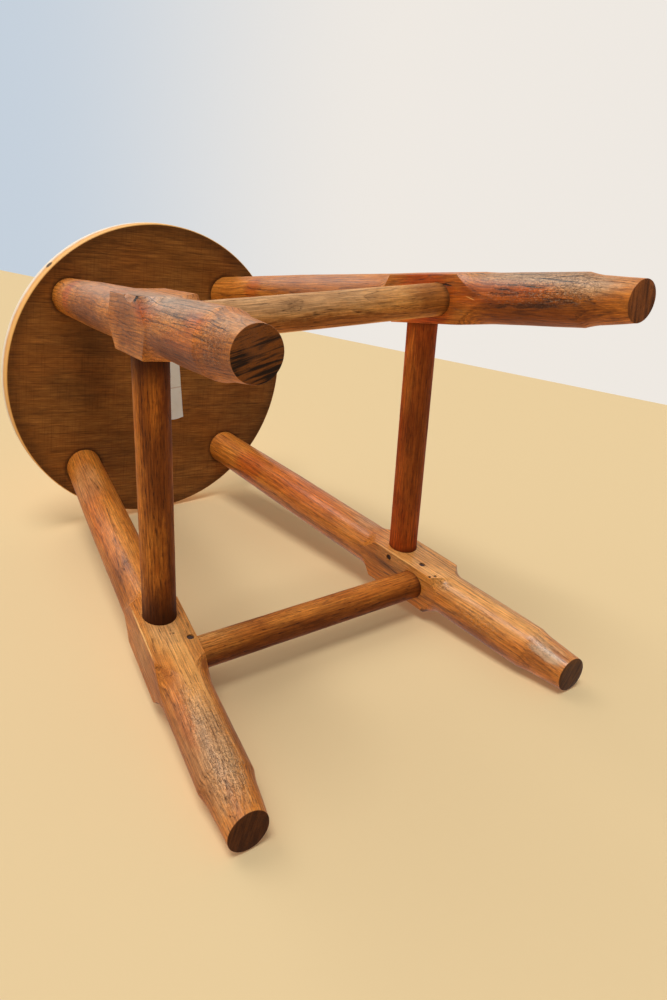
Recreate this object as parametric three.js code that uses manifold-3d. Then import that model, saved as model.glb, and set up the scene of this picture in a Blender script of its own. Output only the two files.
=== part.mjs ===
// A low round stool in oak. Four splayed legs are turned from square stock and keep a square block
// where the stretchers enter. The two side stretchers sit a little higher than the front and back
// ones, so that their sockets miss each other inside the block. A nail through each block locks
// each stretcher's end. Millimetres, +Z up, the feet on z = 0, the front towards -Y.

import * as THREE from "three";
import { mergeVertices } from "three/addons/utils/BufferGeometryUtils.js";
import Module from "manifold-3d";

// Seat: a turned disc, which sits a little off the middle of the legs
const SEAT_DIAMETER = 300;
const SEAT_THICKNESS = 20;
const SEAT_TOP_ROUND = 4;
const SEAT_BOTTOM_ROUND = 1.5;
const SEAT_SHIFT = new THREE.Vector2(-2, 5);
const UNDERSIDE_HEIGHT = 453;

// Legs: half the spread of their centre lines, at the floor and at the underside of the seat
const FOOT_SPREAD = 149;
const HEAD_SPREAD = 84;
const LEG_STOCK = 38;
const HEAD_DIAMETER = 34.5;
const HEAD_DEPTH = 12;
const THIGH_HEIGHT = 330;
const THIGH_DIAMETER = 37.4;
const FOOT_DIAMETER = 29;
const ANKLE_HEIGHT = 26;
const ANKLE_DIAMETER = 33.2;
const ANKLE_STEP = 13;

// The square block, and the hollow shoulders that run from its corners down to the round
const BLOCK_MARGIN = 18;
const LOWER_SHOULDER = 28;
const UPPER_SHOULDER = 23;
const SHOULDER_POWER = 3;

// Stretchers enter the blocks at their full thickness
const STRETCHER_DIAMETER = 25.5;
const LOWER_STRETCHER_HEIGHT = 153;
const SOCKET_WALL = 4.5;
const REACH_PAST_CENTRE = 4;
const END_CHAMFER = 1;

// Nails, driven through the block and the stretcher's end, with their heads sunk
const NAIL_LENGTH = 27;
const NAIL_DIAMETER = 3;
const NAIL_POINT = 4;
const NAIL_HEAD_DIAMETER = 5;
const NAIL_HEAD_THICKNESS = 1.2;
const NAIL_SINK = 0.5;

// Clearance between a piece and the hole that it fits
const FIT_GAP = 0.3;

// Facets around each turned form, and steps along a curved stretch of profile
const SEAT_FACETS = 80;
const LEG_FACETS = 36;
const STRETCHER_FACETS = 32;
const NAIL_FACETS = 12;
const CURVE_STEPS = 6;

// Each leg's quarter, how far hand work left its foot and head off the square places, and how far
// its nails stand from the face that the side and the cross stretcher enter
const LEGS = {
  back_right: { side: [1, 1], foot: [-1, -7], head: [-3, 6], sideNail: 7, crossNail: 8 },
  back_left: { side: [-1, 1], foot: [4, 0], head: [0, 0], sideNail: 8, crossNail: 7 },
  front_right: { side: [1, -1], foot: [1, 0], head: [-3, 3], sideNail: 8, crossNail: 5 },
  front_left: { side: [-1, -1], foot: [-1, 0], head: [3, -3], sideNail: 6, crossNail: 10 },
};

const UPPER_STRETCHER_HEIGHT = LOWER_STRETCHER_HEIGHT + STRETCHER_DIAMETER + SOCKET_WALL;

// Side stretchers run front to back and cross stretchers run left to right
const STRETCHERS = {
  right: { from: "front_right", to: "back_right", height: UPPER_STRETCHER_HEIGHT, kind: "side" },
  left: { from: "front_left", to: "back_left", height: UPPER_STRETCHER_HEIGHT, kind: "side" },
  front: { from: "front_left", to: "front_right", height: LOWER_STRETCHER_HEIGHT, kind: "cross" },
  back: { from: "back_left", to: "back_right", height: LOWER_STRETCHER_HEIGHT, kind: "cross" },
};

const SEAT_WOOD = new THREE.MeshStandardMaterial({ color: 0x8a5a2e, roughness: 0.55, metalness: 0 });
const LEG_WOOD = new THREE.MeshStandardMaterial({ color: 0xb5652a, roughness: 0.4, metalness: 0 });
const STRETCHER_WOOD = new THREE.MeshStandardMaterial({ color: 0x8f5526, roughness: 0.45, metalness: 0 });
const NAIL_IRON = new THREE.MeshStandardMaterial({ color: 0x241c18, roughness: 0.7, metalness: 0.6 });

const wasm = await Module();
wasm.setup();

// A closed geometry as a solid that can be cut and joined
function solidOf(geometry) {
  geometry.deleteAttribute("normal");
  geometry.deleteAttribute("uv");
  const merged = mergeVertices(geometry, 1e-4);
  const corners = merged.index.array;
  const triangles = [];
  for (let i = 0; i < corners.length; i += 3) {
    const [a, b, c] = corners.slice(i, i + 3);
    if (a !== b && b !== c && c !== a) triangles.push(a, b, c);
  }
  return new wasm.Manifold(new wasm.Mesh({
    numProp: 3,
    vertProperties: new Float32Array(merged.attributes.position.array),
    triVerts: new Uint32Array(triangles),
  }));
}

function geometryOf(solid) {
  const mesh = solid.getMesh();
  const geometry = new THREE.BufferGeometry();
  geometry.setAttribute("position", new THREE.BufferAttribute(mesh.vertProperties, 3));
  geometry.setIndex(new THREE.BufferAttribute(mesh.triVerts, 1));
  geometry.computeVertexNormals();
  return geometry;
}

// A turned form about Z, from [radius, height] points that rise from axis to axis
function turned(profile, facets) {
  const points = profile.map(([radius, height]) => new THREE.Vector2(radius, height));
  return new THREE.LatheGeometry(points, facets).rotateX(Math.PI / 2);
}

function rod(radius, from, to, facets) {
  return turned([[0, from], [radius, from], [radius, to], [0, to]], facets);
}

// A square bar about Z
function bar(side, from, to) {
  return new THREE.BoxGeometry(side, side, to - from).translate(0, 0, (from + to) / 2);
}

// A frame whose Z runs along a direction and whose X lies as near as it can to a guide
function frameAlong(origin, direction, guide) {
  const z = direction.clone().normalize();
  const x = guide.clone().addScaledVector(z, -guide.dot(z)).normalize();
  const y = z.clone().cross(x);
  return new THREE.Matrix4().makeBasis(x, y, z).setPosition(origin);
}

function named(name, geometry, material, place) {
  const mesh = new THREE.Mesh(geometry, material);
  mesh.name = name;
  mesh.applyMatrix4(place);
  return mesh;
}

const WORLD_X = new THREE.Vector3(1, 0, 0);
const WORLD_Z = new THREE.Vector3(0, 0, 1);

// Legs: each has its foot's centre as origin, its centre line as Z and its block square to X and Y
for (const leg of Object.values(LEGS)) {
  const at = (spread, shift, height) => new THREE.Vector3(
    leg.side[0] * spread + shift[0], leg.side[1] * spread + shift[1], height);
  const foot = at(FOOT_SPREAD, leg.foot, 0);
  const line = at(HEAD_SPREAD, leg.head, UNDERSIDE_HEIGHT).sub(foot);
  leg.rise = line.length() / UNDERSIDE_HEIGHT;
  leg.place = frameAlong(foot, line, WORLD_X);
  leg.toLocal = leg.place.clone().invert();
  leg.centreAt = (height) => foot.clone().addScaledVector(line, height / UNDERSIDE_HEIGHT);
  leg.tools = [];
}

const blockHalf = LEG_STOCK / 2;
const blockCorner = blockHalf * Math.SQRT2 + 0.5;
const roundRadius = blockHalf - 0.03;
const blockBottom = LOWER_STRETCHER_HEIGHT - BLOCK_MARGIN;
const blockTop = UPPER_STRETCHER_HEIGHT + BLOCK_MARGIN;

// The shoulder's radius, from the round (0) to the block's corner (1)
function shoulderRadius(share) {
  return THREE.MathUtils.lerp(roundRadius, blockCorner, share ** SHOULDER_POWER);
}

// The turned outline of a leg as [radius, height] points, heights measured upright
function legProfile() {
  const floorTrim = 10;
  const profile = [[0, -floorTrim], [FOOT_DIAMETER / 2, -floorTrim], [FOOT_DIAMETER / 2, 0]];
  for (let i = 0; i <= CURVE_STEPS; i++) {
    const share = i / CURVE_STEPS;
    const radius = THREE.MathUtils.lerp(
      ANKLE_DIAMETER / 2, roundRadius, THREE.MathUtils.smoothstep(share, 0, 1));
    profile.push([radius, ANKLE_HEIGHT + ANKLE_STEP * share]);
  }
  for (let i = 0; i <= CURVE_STEPS; i++) {
    const share = i / CURVE_STEPS;
    profile.push([shoulderRadius(share), blockBottom - LOWER_SHOULDER * (1 - share)]);
  }
  for (let i = 0; i <= CURVE_STEPS; i++) {
    const share = i / CURVE_STEPS;
    profile.push([shoulderRadius(1 - share), blockTop + UPPER_SHOULDER * share]);
  }
  profile.push([THIGH_DIAMETER / 2, THIGH_HEIGHT]);
  profile.push([HEAD_DIAMETER / 2, UNDERSIDE_HEIGHT - HEAD_DEPTH]);
  return profile;
}

// A leg's blank: square between the shoulders' ends, and wider than any turned part elsewhere
function blankFor(leg, top) {
  const wide = 2 * LEG_STOCK;
  const overlap = 1;
  const low = (blockBottom - LOWER_SHOULDER) * leg.rise;
  const high = (blockTop + UPPER_SHOULDER) * leg.rise;
  return solidOf(bar(LEG_STOCK, low, high))
    .add(solidOf(bar(wide, -2 * LEG_STOCK, low + overlap)))
    .add(solidOf(bar(wide, high - overlap, top + LEG_STOCK)));
}

function headEnd(leg) {
  return UNDERSIDE_HEIGHT * leg.rise + HEAD_DEPTH;
}

function legSolid(leg) {
  const end = headEnd(leg);
  const profile = legProfile().map(([radius, height]) => [radius, height * leg.rise]);
  profile.push([HEAD_DIAMETER / 2, end], [0, end]);
  const floor = new THREE.BoxGeometry(4 * LEG_STOCK, 4 * LEG_STOCK, 2 * LEG_STOCK);
  floor.translate(0, 0, -LEG_STOCK).applyMatrix4(
    leg.toLocal.clone().multiply(new THREE.Matrix4().setPosition(leg.centreAt(0))));
  let solid = solidOf(turned(profile, LEG_FACETS)).intersect(blankFor(leg, end)).subtract(solidOf(floor));
  for (const tool of leg.tools) solid = solid.subtract(tool);
  return solid;
}

// Nails: the head's outer face is at z = 0 and the point is down
function nailProfile(gap) {
  const shank = NAIL_DIAMETER / 2 + gap;
  const head = NAIL_HEAD_DIAMETER / 2 + gap;
  return [
    [0, -NAIL_LENGTH - gap], [shank, NAIL_POINT - NAIL_LENGTH],
    [shank, -NAIL_HEAD_THICKNESS - gap], [head, -NAIL_HEAD_THICKNESS - gap],
  ];
}

function nailGeometry() {
  const head = NAIL_HEAD_DIAMETER / 2;
  return turned([...nailProfile(0), [head, 0], [0, 0]], NAIL_FACETS);
}

// The nail's hole, open to well outside the block
function nailHole() {
  const outside = LEG_STOCK / 4;
  const head = NAIL_HEAD_DIAMETER / 2 + FIT_GAP;
  return turned([...nailProfile(FIT_GAP), [head, outside], [0, outside]], NAIL_FACETS);
}

// A nail goes in from the block's inner face that the other stretcher enters. Its frame is in the
// leg's own frame, with Z out of the wood.
function nailFrame(leg, kind, entry) {
  const across = kind === "side" ? 0 : 1;
  const inward = -leg.side[across];
  const spot = entry.clone();
  spot.setComponent(across, inward * (blockHalf - NAIL_SINK));
  const out = new THREE.Vector3().setComponent(across, inward);
  return frameAlong(spot, out, WORLD_Z);
}

const group = new THREE.Group();
const nails = [];

// Stretchers: each has the start leg's centre line as origin and its own centre line as Z
for (const [name, { from, to, height, kind }] of Object.entries(STRETCHERS)) {
  const start = LEGS[from].centreAt(height);
  const line = LEGS[to].centreAt(height).sub(start);
  const length = line.length();
  const place = frameAlong(start, line, WORLD_Z);
  const toLocal = place.clone().invert();
  const radius = STRETCHER_DIAMETER / 2;
  const low = -REACH_PAST_CENTRE;
  const high = length + REACH_PAST_CENTRE;
  let solid = solidOf(turned([
    [0, low], [radius - END_CHAMFER, low], [radius, low + END_CHAMFER],
    [radius, high - END_CHAMFER], [radius - END_CHAMFER, high], [0, high],
  ], STRETCHER_FACETS));

  const ends = [[from, low - FIT_GAP, LEG_STOCK], [to, length - LEG_STOCK, high + FIT_GAP]];
  for (const [legName, socketLow, socketHigh] of ends) {
    const leg = LEGS[legName];
    const socket = rod(radius + FIT_GAP, socketLow, socketHigh, STRETCHER_FACETS);
    leg.tools.push(solidOf(socket.applyMatrix4(leg.toLocal.clone().multiply(place))));

    const along = line.clone().normalize().multiplyScalar(legName === from ? 1 : -1);
    const inset = blockHalf - leg[`${kind}Nail`];
    const entry = leg.centreAt(height).addScaledVector(along, inset).applyMatrix4(leg.toLocal);
    const nail = nailFrame(leg, kind, entry);
    const nailPlace = leg.place.clone().multiply(nail);
    leg.tools.push(solidOf(nailHole().applyMatrix4(nail)));
    solid = solid.subtract(solidOf(nailHole().applyMatrix4(toLocal.clone().multiply(nailPlace))));
    nails.push(named(`nail_${legName}_${kind}`, nailGeometry(), NAIL_IRON, nailPlace));
  }
  group.add(named(`stretcher_${name}`, geometryOf(solid), STRETCHER_WOOD, place));
}

for (const [name, leg] of Object.entries(LEGS)) {
  group.add(named(`leg_${name}`, geometryOf(legSolid(leg)), LEG_WOOD, leg.place));
}
group.add(...nails);

// Seat: its origin is the middle of its underside, and a blind socket takes each leg's head
function seatProfile() {
  const radius = SEAT_DIAMETER / 2;
  const profile = [[0, 0]];
  for (let i = 0; i <= CURVE_STEPS; i++) {
    const turn = (i / CURVE_STEPS) * (Math.PI / 2);
    profile.push([
      radius - SEAT_BOTTOM_ROUND * (1 - Math.sin(turn)), SEAT_BOTTOM_ROUND * (1 - Math.cos(turn))]);
  }
  for (let i = 0; i <= CURVE_STEPS; i++) {
    const turn = (i / CURVE_STEPS) * (Math.PI / 2);
    profile.push([
      radius - SEAT_TOP_ROUND * (1 - Math.cos(turn)),
      SEAT_THICKNESS - SEAT_TOP_ROUND * (1 - Math.sin(turn))]);
  }
  profile.push([0, SEAT_THICKNESS]);
  return profile;
}

const seatPlace = new THREE.Matrix4().setPosition(SEAT_SHIFT.x, SEAT_SHIFT.y, UNDERSIDE_HEIGHT);
const seatToLocal = seatPlace.clone().invert();
let seat = solidOf(turned(seatProfile(), SEAT_FACETS));
for (const leg of Object.values(LEGS)) {
  const end = headEnd(leg);
  const socket = rod(HEAD_DIAMETER / 2 + FIT_GAP, end - 3 * HEAD_DEPTH, end + FIT_GAP, LEG_FACETS);
  seat = seat.subtract(solidOf(socket.applyMatrix4(seatToLocal.clone().multiply(leg.place))));
}
group.add(named("seat", geometryOf(seat), SEAT_WOOD, seatPlace));

export default group;
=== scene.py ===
"""A low round oak stool with turned legs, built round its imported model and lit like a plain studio.

Each operator below makes one piece or one group of like pieces. Sizes are in metres, and those in
the looks, which the materials read, are in millimetres.
"""

import math

import bmesh
import bpy
import numpy as np
from bpy.props import FloatProperty, FloatVectorProperty, IntProperty, PointerProperty
from mathutils import Euler, Matrix, Vector

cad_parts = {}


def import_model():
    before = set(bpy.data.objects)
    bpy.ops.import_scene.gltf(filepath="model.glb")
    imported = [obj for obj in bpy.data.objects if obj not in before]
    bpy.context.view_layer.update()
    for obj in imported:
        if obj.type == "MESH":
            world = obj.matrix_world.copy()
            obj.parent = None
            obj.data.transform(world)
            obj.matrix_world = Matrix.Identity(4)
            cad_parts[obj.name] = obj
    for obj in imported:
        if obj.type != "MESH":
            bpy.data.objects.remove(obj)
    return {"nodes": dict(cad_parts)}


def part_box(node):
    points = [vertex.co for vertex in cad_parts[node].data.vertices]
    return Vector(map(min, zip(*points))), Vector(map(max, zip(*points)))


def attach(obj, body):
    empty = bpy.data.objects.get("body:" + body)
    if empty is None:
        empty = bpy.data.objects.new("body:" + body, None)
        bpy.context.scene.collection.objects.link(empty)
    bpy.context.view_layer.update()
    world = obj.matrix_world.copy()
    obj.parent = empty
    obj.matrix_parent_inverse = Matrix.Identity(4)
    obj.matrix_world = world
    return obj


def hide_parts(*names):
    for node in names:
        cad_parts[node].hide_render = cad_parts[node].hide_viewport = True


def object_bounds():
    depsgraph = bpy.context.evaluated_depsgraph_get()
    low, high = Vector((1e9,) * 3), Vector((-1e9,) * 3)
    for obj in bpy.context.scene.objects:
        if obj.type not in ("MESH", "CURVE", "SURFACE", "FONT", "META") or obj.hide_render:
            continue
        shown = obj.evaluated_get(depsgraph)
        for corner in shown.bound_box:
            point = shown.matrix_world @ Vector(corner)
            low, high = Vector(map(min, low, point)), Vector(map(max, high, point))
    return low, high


bl_info = {
    "name": "Turned Oak Stool",
    "version": (1, 0, 0),
    "blender": (4, 5, 0),
    "location": "View3D > Sidebar > Stool",
    "description": "Builds a worn oak stool with turned legs, round stretchers and nailed joints",
    "category": "Object",
}

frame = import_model()
CAD_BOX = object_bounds()
BODY = "root"
MM = 0.001

LEGS = ("back_right", "back_left", "front_right", "front_left")
STRETCHERS = {"right": "Y", "left": "Y", "front": "X", "back": "X"}
NAILS = [(leg, kind) for leg in LEGS for kind in ("side", "cross")]
AXES = {"X": Vector((1, 0, 0)), "Y": Vector((0, 1, 0)), "Z": Vector((0, 0, 1))}

# The photograph's view, solved from the stool's own points in a frame of 667 by 1000
CAMERA_SPOT = Vector((0.337837, 0.230333, -0.315500))
CAMERA_TURN = Euler([math.radians(angle) for angle in (154.40300, 35.71935, 176.44694)])
CAMERA_LENS = 29.0495
SENSOR = 36.0
FRAME_SIZE = (667, 1000)
WALL_LINE = ((0, 270), (667, 405))

# How near the end of a piece its corners are taken as part of that end
NEAR, CLOSE, CLOSEST = 2 * MM, 0.1 * MM, 0.05 * MM


# Places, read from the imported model

def corners_of(mesh):
    """A mesh's corners, one row each."""
    points = np.empty(len(mesh.vertices) * 3, np.float32)
    mesh.vertices.foreach_get("co", points)
    return points.reshape(-1, 3).astype(float)


def node_points(node):
    return corners_of(frame["nodes"][node].data)


def middle(points):
    return Vector((points.min(axis=0) + points.max(axis=0)) / 2)


def end_centre(points, direction, near):
    """The middle of the corners that lie furthest along a direction."""
    reach = points @ np.array(direction)
    return middle(points[reach > reach.max() - near])


def frame_along(origin, direction, guide):
    """A frame whose Z runs along a direction and whose X lies as near as it can to a guide."""
    z = direction.normalized()
    x = (guide - z * guide.dot(z)).normalized()
    turn = Matrix((x, z.cross(x), z)).transposed().to_4x4()
    return Matrix.Translation(origin) @ turn


SEAT_LOW, SEAT_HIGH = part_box("seat")
UNDERSIDE = SEAT_LOW.z


def leg_frame(leg):
    """A leg's frame, with its foot's centre as origin, and the distance to the end of its head."""
    points = node_points(f"leg_{leg}")
    foot = middle(points[points[:, 2] < CLOSE])
    head = middle(points[points[:, 2] > UNDERSIDE + NEAR])
    return frame_along(foot, head - foot, AXES["X"]), (head - foot).length


def stretcher_frame(name):
    """A stretcher's frame, with its start as origin, and its length."""
    points = node_points(f"stretcher_{name}")
    direction = AXES[STRETCHERS[name]]
    for near in (NEAR, CLOSE):
        start, end = (end_centre(points, way, near) for way in (-direction, direction))
        direction = (end - start).normalized()
    return frame_along(start, end - start, AXES["Z"]), (end - start).length


def nail_frame(leg, kind):
    """A nail's frame, with its head's middle as origin and Z out of the wood."""
    place, _ = leg_frame(leg)
    across, far_side = (0, "right") if kind == "side" else (1, "back")
    out = place.to_3x3().col[across] * (-1 if far_side in leg else 1)
    points = node_points(f"nail_{leg}_{kind}")
    return frame_along(end_centre(points, out, CLOSEST), out, AXES["Z"])


# Node trees

class Wire:
    """A node's output that can be reckoned with: a sum or a product adds a math node."""

    def __init__(self, net, socket):
        self.net = net
        self.socket = socket

    def __abs__(self):
        return self.net.math("ABSOLUTE", self)

    @classmethod
    def learn(cls, sign, operation):
        """Adds a sign, for a wire that stands before or after another value."""
        def before(self, other):
            return self.net.math(operation, self, other)

        def after(self, other):
            return self.net.math(operation, other, self)

        setattr(cls, f"__{sign}__", before)
        setattr(cls, f"__r{sign}__", after)


for sign_, operation_ in {"add": "ADD", "sub": "SUBTRACT", "mul": "MULTIPLY", "truediv": "DIVIDE",
                          "pow": "POWER"}.items():
    Wire.learn(sign_, operation_)


class Net:
    """Adds nodes to a tree and links them."""
    # How the nodes are spread out in the editor
    row_length, column_width, row_depth = 12, 190, 260

    def __init__(self, tree):
        self.tree = tree

    def feed(self, socket, value):
        if isinstance(value, Wire):
            self.tree.links.new(value.socket, socket)
        elif value is not None:
            if socket.type == "RGBA" and len(value) == 3:
                value = (*value, 1.0)
            socket.default_value = value

    def node(self, kind, inputs=(), **settings):
        made = self.tree.nodes.new(kind)
        row, column = divmod(len(self.tree.nodes), self.row_length)
        made.location = (column * self.column_width, -row * self.row_depth)
        for name, value in settings.items():
            setattr(made, name, value)
        for name, value in dict(inputs).items():
            self.feed(made.inputs[name], value)
        return made

    def out(self, node, name=0):
        return Wire(self, node.outputs[name])

    def value(self, kind, inputs=(), output=0, **settings):
        """Adds a node of which only one output is wanted."""
        return self.out(self.node(kind, inputs, **settings), output)

    def math(self, operation, *values):
        return self.value("ShaderNodeMath", enumerate(values), operation=operation)

    def vector(self, operation, *values, output=0):
        return self.value("ShaderNodeVectorMath", enumerate(values), output, operation=operation)

    def join(self, *parts):
        return self.value("ShaderNodeCombineXYZ", enumerate(parts))

    def split(self, vector):
        made = self.node("ShaderNodeSeparateXYZ", {0: vector})
        return [self.out(made, axis) for axis in range(3)]

    def step(self, value, low, high, start=0.0, end=1.0):
        """A smooth step from start to end while the value goes from low to high."""
        return self.value("ShaderNodeMapRange", enumerate((value, low, high, start, end)),
                          interpolation_type="SMOOTHSTEP")

    def noise(self, vector, size, detail=2.0, rough=0.5, seed=0.0):
        """Even noise about 0.5, with features of a size along each axis."""
        scale = [1 / value for value in size]
        plain = not any(isinstance(value, Wire) for value in scale)
        place = self.vector("MULTIPLY", vector, tuple(scale) if plain else self.join(*scale))
        return self.value("ShaderNodeTexNoise", {
            "Vector": place, "W": seed, "Scale": 1.0, "Detail": detail, "Roughness": rough},
            noise_dimensions="4D")

    def mix(self, factor, first, second, blend="MIX"):
        return self.value("ShaderNodeMix", {0: factor, 6: first, 7: second}, 2,
                          data_type="RGBA", blend_type=blend)

    def group(self, name, **inputs):
        """Places a shader group. Each keyword is an input's name, with _ for a space."""
        made = self.node("ShaderNodeGroup", node_tree=group_named(name))
        for label, value in inputs.items():
            self.feed(made.inputs[label.replace("_", " ")], value)
        return made


def new_tree(name, kind, inputs, outputs):
    """The net of a new node group, and its inputs as wires.

    An input is given as its default, or as the name of a kind of socket that has none.
    """
    tree = bpy.data.node_groups.new(name, kind)
    for label, default in inputs.items():
        if isinstance(default, str):
            socket = default
        elif isinstance(default, tuple):
            socket = "Vector" if len(default) == 3 else "Color"
        else:
            socket = type(default).__name__.capitalize()
        made = tree.interface.new_socket(label, in_out="INPUT", socket_type=f"NodeSocket{socket}")
        if socket != default:
            made.default_value = default
    for label, socket in outputs.items():
        tree.interface.new_socket(label, in_out="OUTPUT", socket_type=f"NodeSocket{socket}")
    net = Net(tree)
    entry = net.node("NodeGroupInput")
    return net, {label: net.out(entry, label) for label in inputs}


def end_tree(net, **outputs):
    net.node("NodeGroupOutput", outputs)
    return net.tree


def end_form(net, form, material):
    """Ends a geometry tree with plain geometry that has its material."""
    plain = net.value("GeometryNodeRealizeInstances", {"Geometry": form})
    finished = net.value("GeometryNodeSetMaterial", {"Geometry": plain, "Material": material})
    return end_tree(net, Geometry=finished)


# What each row of an outline carries: its radius and height, the height and the stage of its
# shoulder, how uneven it is, whether it is an edge, and how it follows the nearest crease's waver
ROW_VALUES = ("radius", "height", "span", "stage", "rough", "crease", "waver", "sway")
ROW_MARK = "row_"
TURN = "turn"


def turned_tree():
    """Sweeps an outline round Z. Rows of the outline may widen into a square block."""
    net, given = new_tree("turned form", "GeometryNodeTree", {
        "Geometry": "Geometry", "Columns": 96, "Block Half Width": 0.019, "Corner Radius": 0.0274,
        "Shoulder Power": 3.0, "Arris Sharpness": 60.0, "Gather": 0.0, "Lean": (0.0, 0.0, 0.0),
        "Lean Fade": 0.015, "Waver": 0.0, "Unevenness": 0.0001, "Unevenness Length": 0.03,
        "Seed": 0.0, "Material": "Material"}, {"Geometry": "Geometry"})
    corners, grain_stretch, waver_size = 4.0, 1.6, (0.8, 0.8, 1.0)

    def kept(name):
        return net.value("GeometryNodeInputNamedAttribute", {"Name": name}, data_type="FLOAT")

    outline = net.value("GeometryNodeMeshToCurve", {"Mesh": given["Geometry"]})
    ring = net.value("GeometryNodeCurvePrimitiveCircle", {"Resolution": given["Columns"]})
    ring_x, ring_y, _ = net.split(net.value("GeometryNodeInputPosition"))
    marked = net.value("GeometryNodeStoreNamedAttribute", {
        "Geometry": ring, "Name": TURN, "Value": net.math("ARCTAN2", ring_y, ring_x)},
        data_type="FLOAT", domain="POINT")
    swept = net.value("GeometryNodeCurveToMesh", {
        "Curve": outline, "Profile Curve": marked, "Fill Caps": True})

    start, low, span, stage, rough, crease, waver, sway = (
        kept(ROW_MARK + name) for name in ROW_VALUES)
    angle = kept(TURN)
    angle = angle + net.math("SINE", angle * corners) / corners * given["Gather"]
    cos, sin = net.math("COSINE", angle), net.math("SINE", angle)
    power = given["Arris Sharpness"]
    flat = given["Block Half Width"] / ((abs(cos) ** power + abs(sin) ** power) ** (1.0 / power))
    widening = given["Corner Radius"] - start
    meeting = ((flat - start) / widening) ** (1.0 / given["Shoulder Power"])
    hollow = net.math("MINIMUM", stage, 1.0)
    beyond = net.math("MAXIMUM", stage - 1.0, 0.0)
    share = meeting * hollow + (1.0 - meeting) * beyond
    curved = start + widening * share ** given["Shoulder Power"]
    on_flat = net.math("GREATER_THAN", stage, 1.0)
    radius = curved * (1.0 - on_flat) + flat * on_flat
    wobble = net.noise(net.join(cos, sin, given["Seed"]), waver_size, 1.0, 0.5, sway) - 0.5
    height = low + span * share + wobble * given["Waver"] * waver
    x, y = radius * cos, radius * sin
    lean = net.vector("DOT_PRODUCT", net.join(x, y, 0.0), given["Lean"], output="Value")
    lean = lean * net.step(height, 0.0, given["Lean Fade"], 1.0, 0.0)
    shaped = net.value("GeometryNodeSetPosition", {
        "Geometry": swept, "Position": net.join(x, y, height + lean)})

    length = given["Unevenness Length"]
    place = net.vector("DIVIDE", net.value("GeometryNodeInputPosition"),
                       net.join(length, length, length * grain_stretch))
    bumps = net.noise(place, (1.0, 1.0, 1.0), 3.0, 0.55, given["Seed"]) - 0.5
    depth = bumps * given["Unevenness"] * 2.0 * rough
    offset = net.value("ShaderNodeVectorMath", {
        0: net.value("GeometryNodeInputNormal"), "Scale": depth}, operation="SCALE")
    uneven = net.value("GeometryNodeSetPosition", {"Geometry": shaped, "Offset": offset})
    creased = net.value("GeometryNodeSetShadeSmooth", {
        "Geometry": uneven, "Selection": net.math("GREATER_THAN", crease, 0.99),
        "Shade Smooth": False}, domain="EDGE")
    return end_form(net, creased, given["Material"])


def nails_tree():
    """Sets one nail form at each point, turned by the point's own rotation."""
    net, given = new_tree("driven nails", "GeometryNodeTree", {
        "Geometry": "Geometry", "Nail": "Object", "Material": "Material"},
        {"Geometry": "Geometry"})
    driven = net.value("GeometryNodeInstanceOnPoints", {
        "Points": given["Geometry"],
        "Instance": net.value("GeometryNodeObjectInfo", {"Object": given["Nail"]}, "Geometry"),
        "Rotation": net.value("GeometryNodeInputNamedAttribute", {"Name": TURN},
                              data_type="QUATERNION")})
    return end_form(net, driven, given["Material"])


# Meshes

def link(name, data):
    """A new object in the scene."""
    obj = bpy.data.objects.new(name, data)
    bpy.context.scene.collection.objects.link(obj)
    return obj


def plain_mesh(obj, name):
    """An object's evaluated shape as a mesh of its own."""
    graph = bpy.context.evaluated_depsgraph_get()
    mesh = bpy.data.meshes.new_from_object(obj.evaluated_get(graph))
    mesh.name = name
    return mesh


def drop(obj):
    """Removes an object with its mesh."""
    mesh = obj.data
    bpy.data.objects.remove(obj)
    bpy.data.meshes.remove(mesh)


def through_nodes(base, tree, **inputs):
    """Runs a mesh through a geometry node tree and gives the plain mesh that comes out."""
    obj = link(base.name, base)
    modifier = obj.modifiers.new(tree.name, "NODES")
    modifier.node_group = tree
    identifiers = {item.name.replace(" ", "_"): item.identifier
                   for item in tree.interface.items_tree if item.in_out == "INPUT"}
    for name, value in inputs.items():
        modifier[identifiers[name]] = value
    mesh = plain_mesh(obj, base.name)
    drop(obj)
    return mesh


def outward(mesh):
    """Turns a closed mesh's faces outwards if they point in."""
    mesh.calc_loop_triangles()
    index = np.empty(len(mesh.loop_triangles) * 3, np.int32)
    mesh.loop_triangles.foreach_get("vertices", index)
    a, b, c = corners_of(mesh)[index.reshape(-1, 3).T]
    if np.einsum("ij,ij->i", a, np.cross(b, c)).sum() < 0:
        mesh.flip_normals()
    return mesh


def turned_mesh(name, rows, place, **inputs):
    """A closed turned form from the rows of its outline, put in its place."""
    base = bpy.data.meshes.new(name)
    base.from_pydata([(0, 0, i * MM) for i in range(len(rows))],
                     [(i, i + 1) for i in range(len(rows) - 1)], [])
    for value, column in zip(ROW_VALUES, zip(*rows)):
        made = base.attributes.new(ROW_MARK + value, "FLOAT", "POINT")
        made.data.foreach_set("value", column)
    mesh = through_nodes(base, group_named("turned form"), **inputs)
    mesh.transform(place)
    return outward(mesh)


def cut(mesh, cutters):
    """A mesh with other closed meshes cut out of it."""
    obj = link("cut_base", mesh)
    tools = [link("cutter", cutter) for cutter in cutters]
    for tool in tools:
        modifier = obj.modifiers.new("cut", "BOOLEAN")
        modifier.operation = "DIFFERENCE"
        modifier.solver = "EXACT"
        modifier.object = tool
    done = plain_mesh(obj, mesh.name)
    for tool in tools:
        drop(tool)
    bpy.data.objects.remove(obj)
    return done


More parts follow.
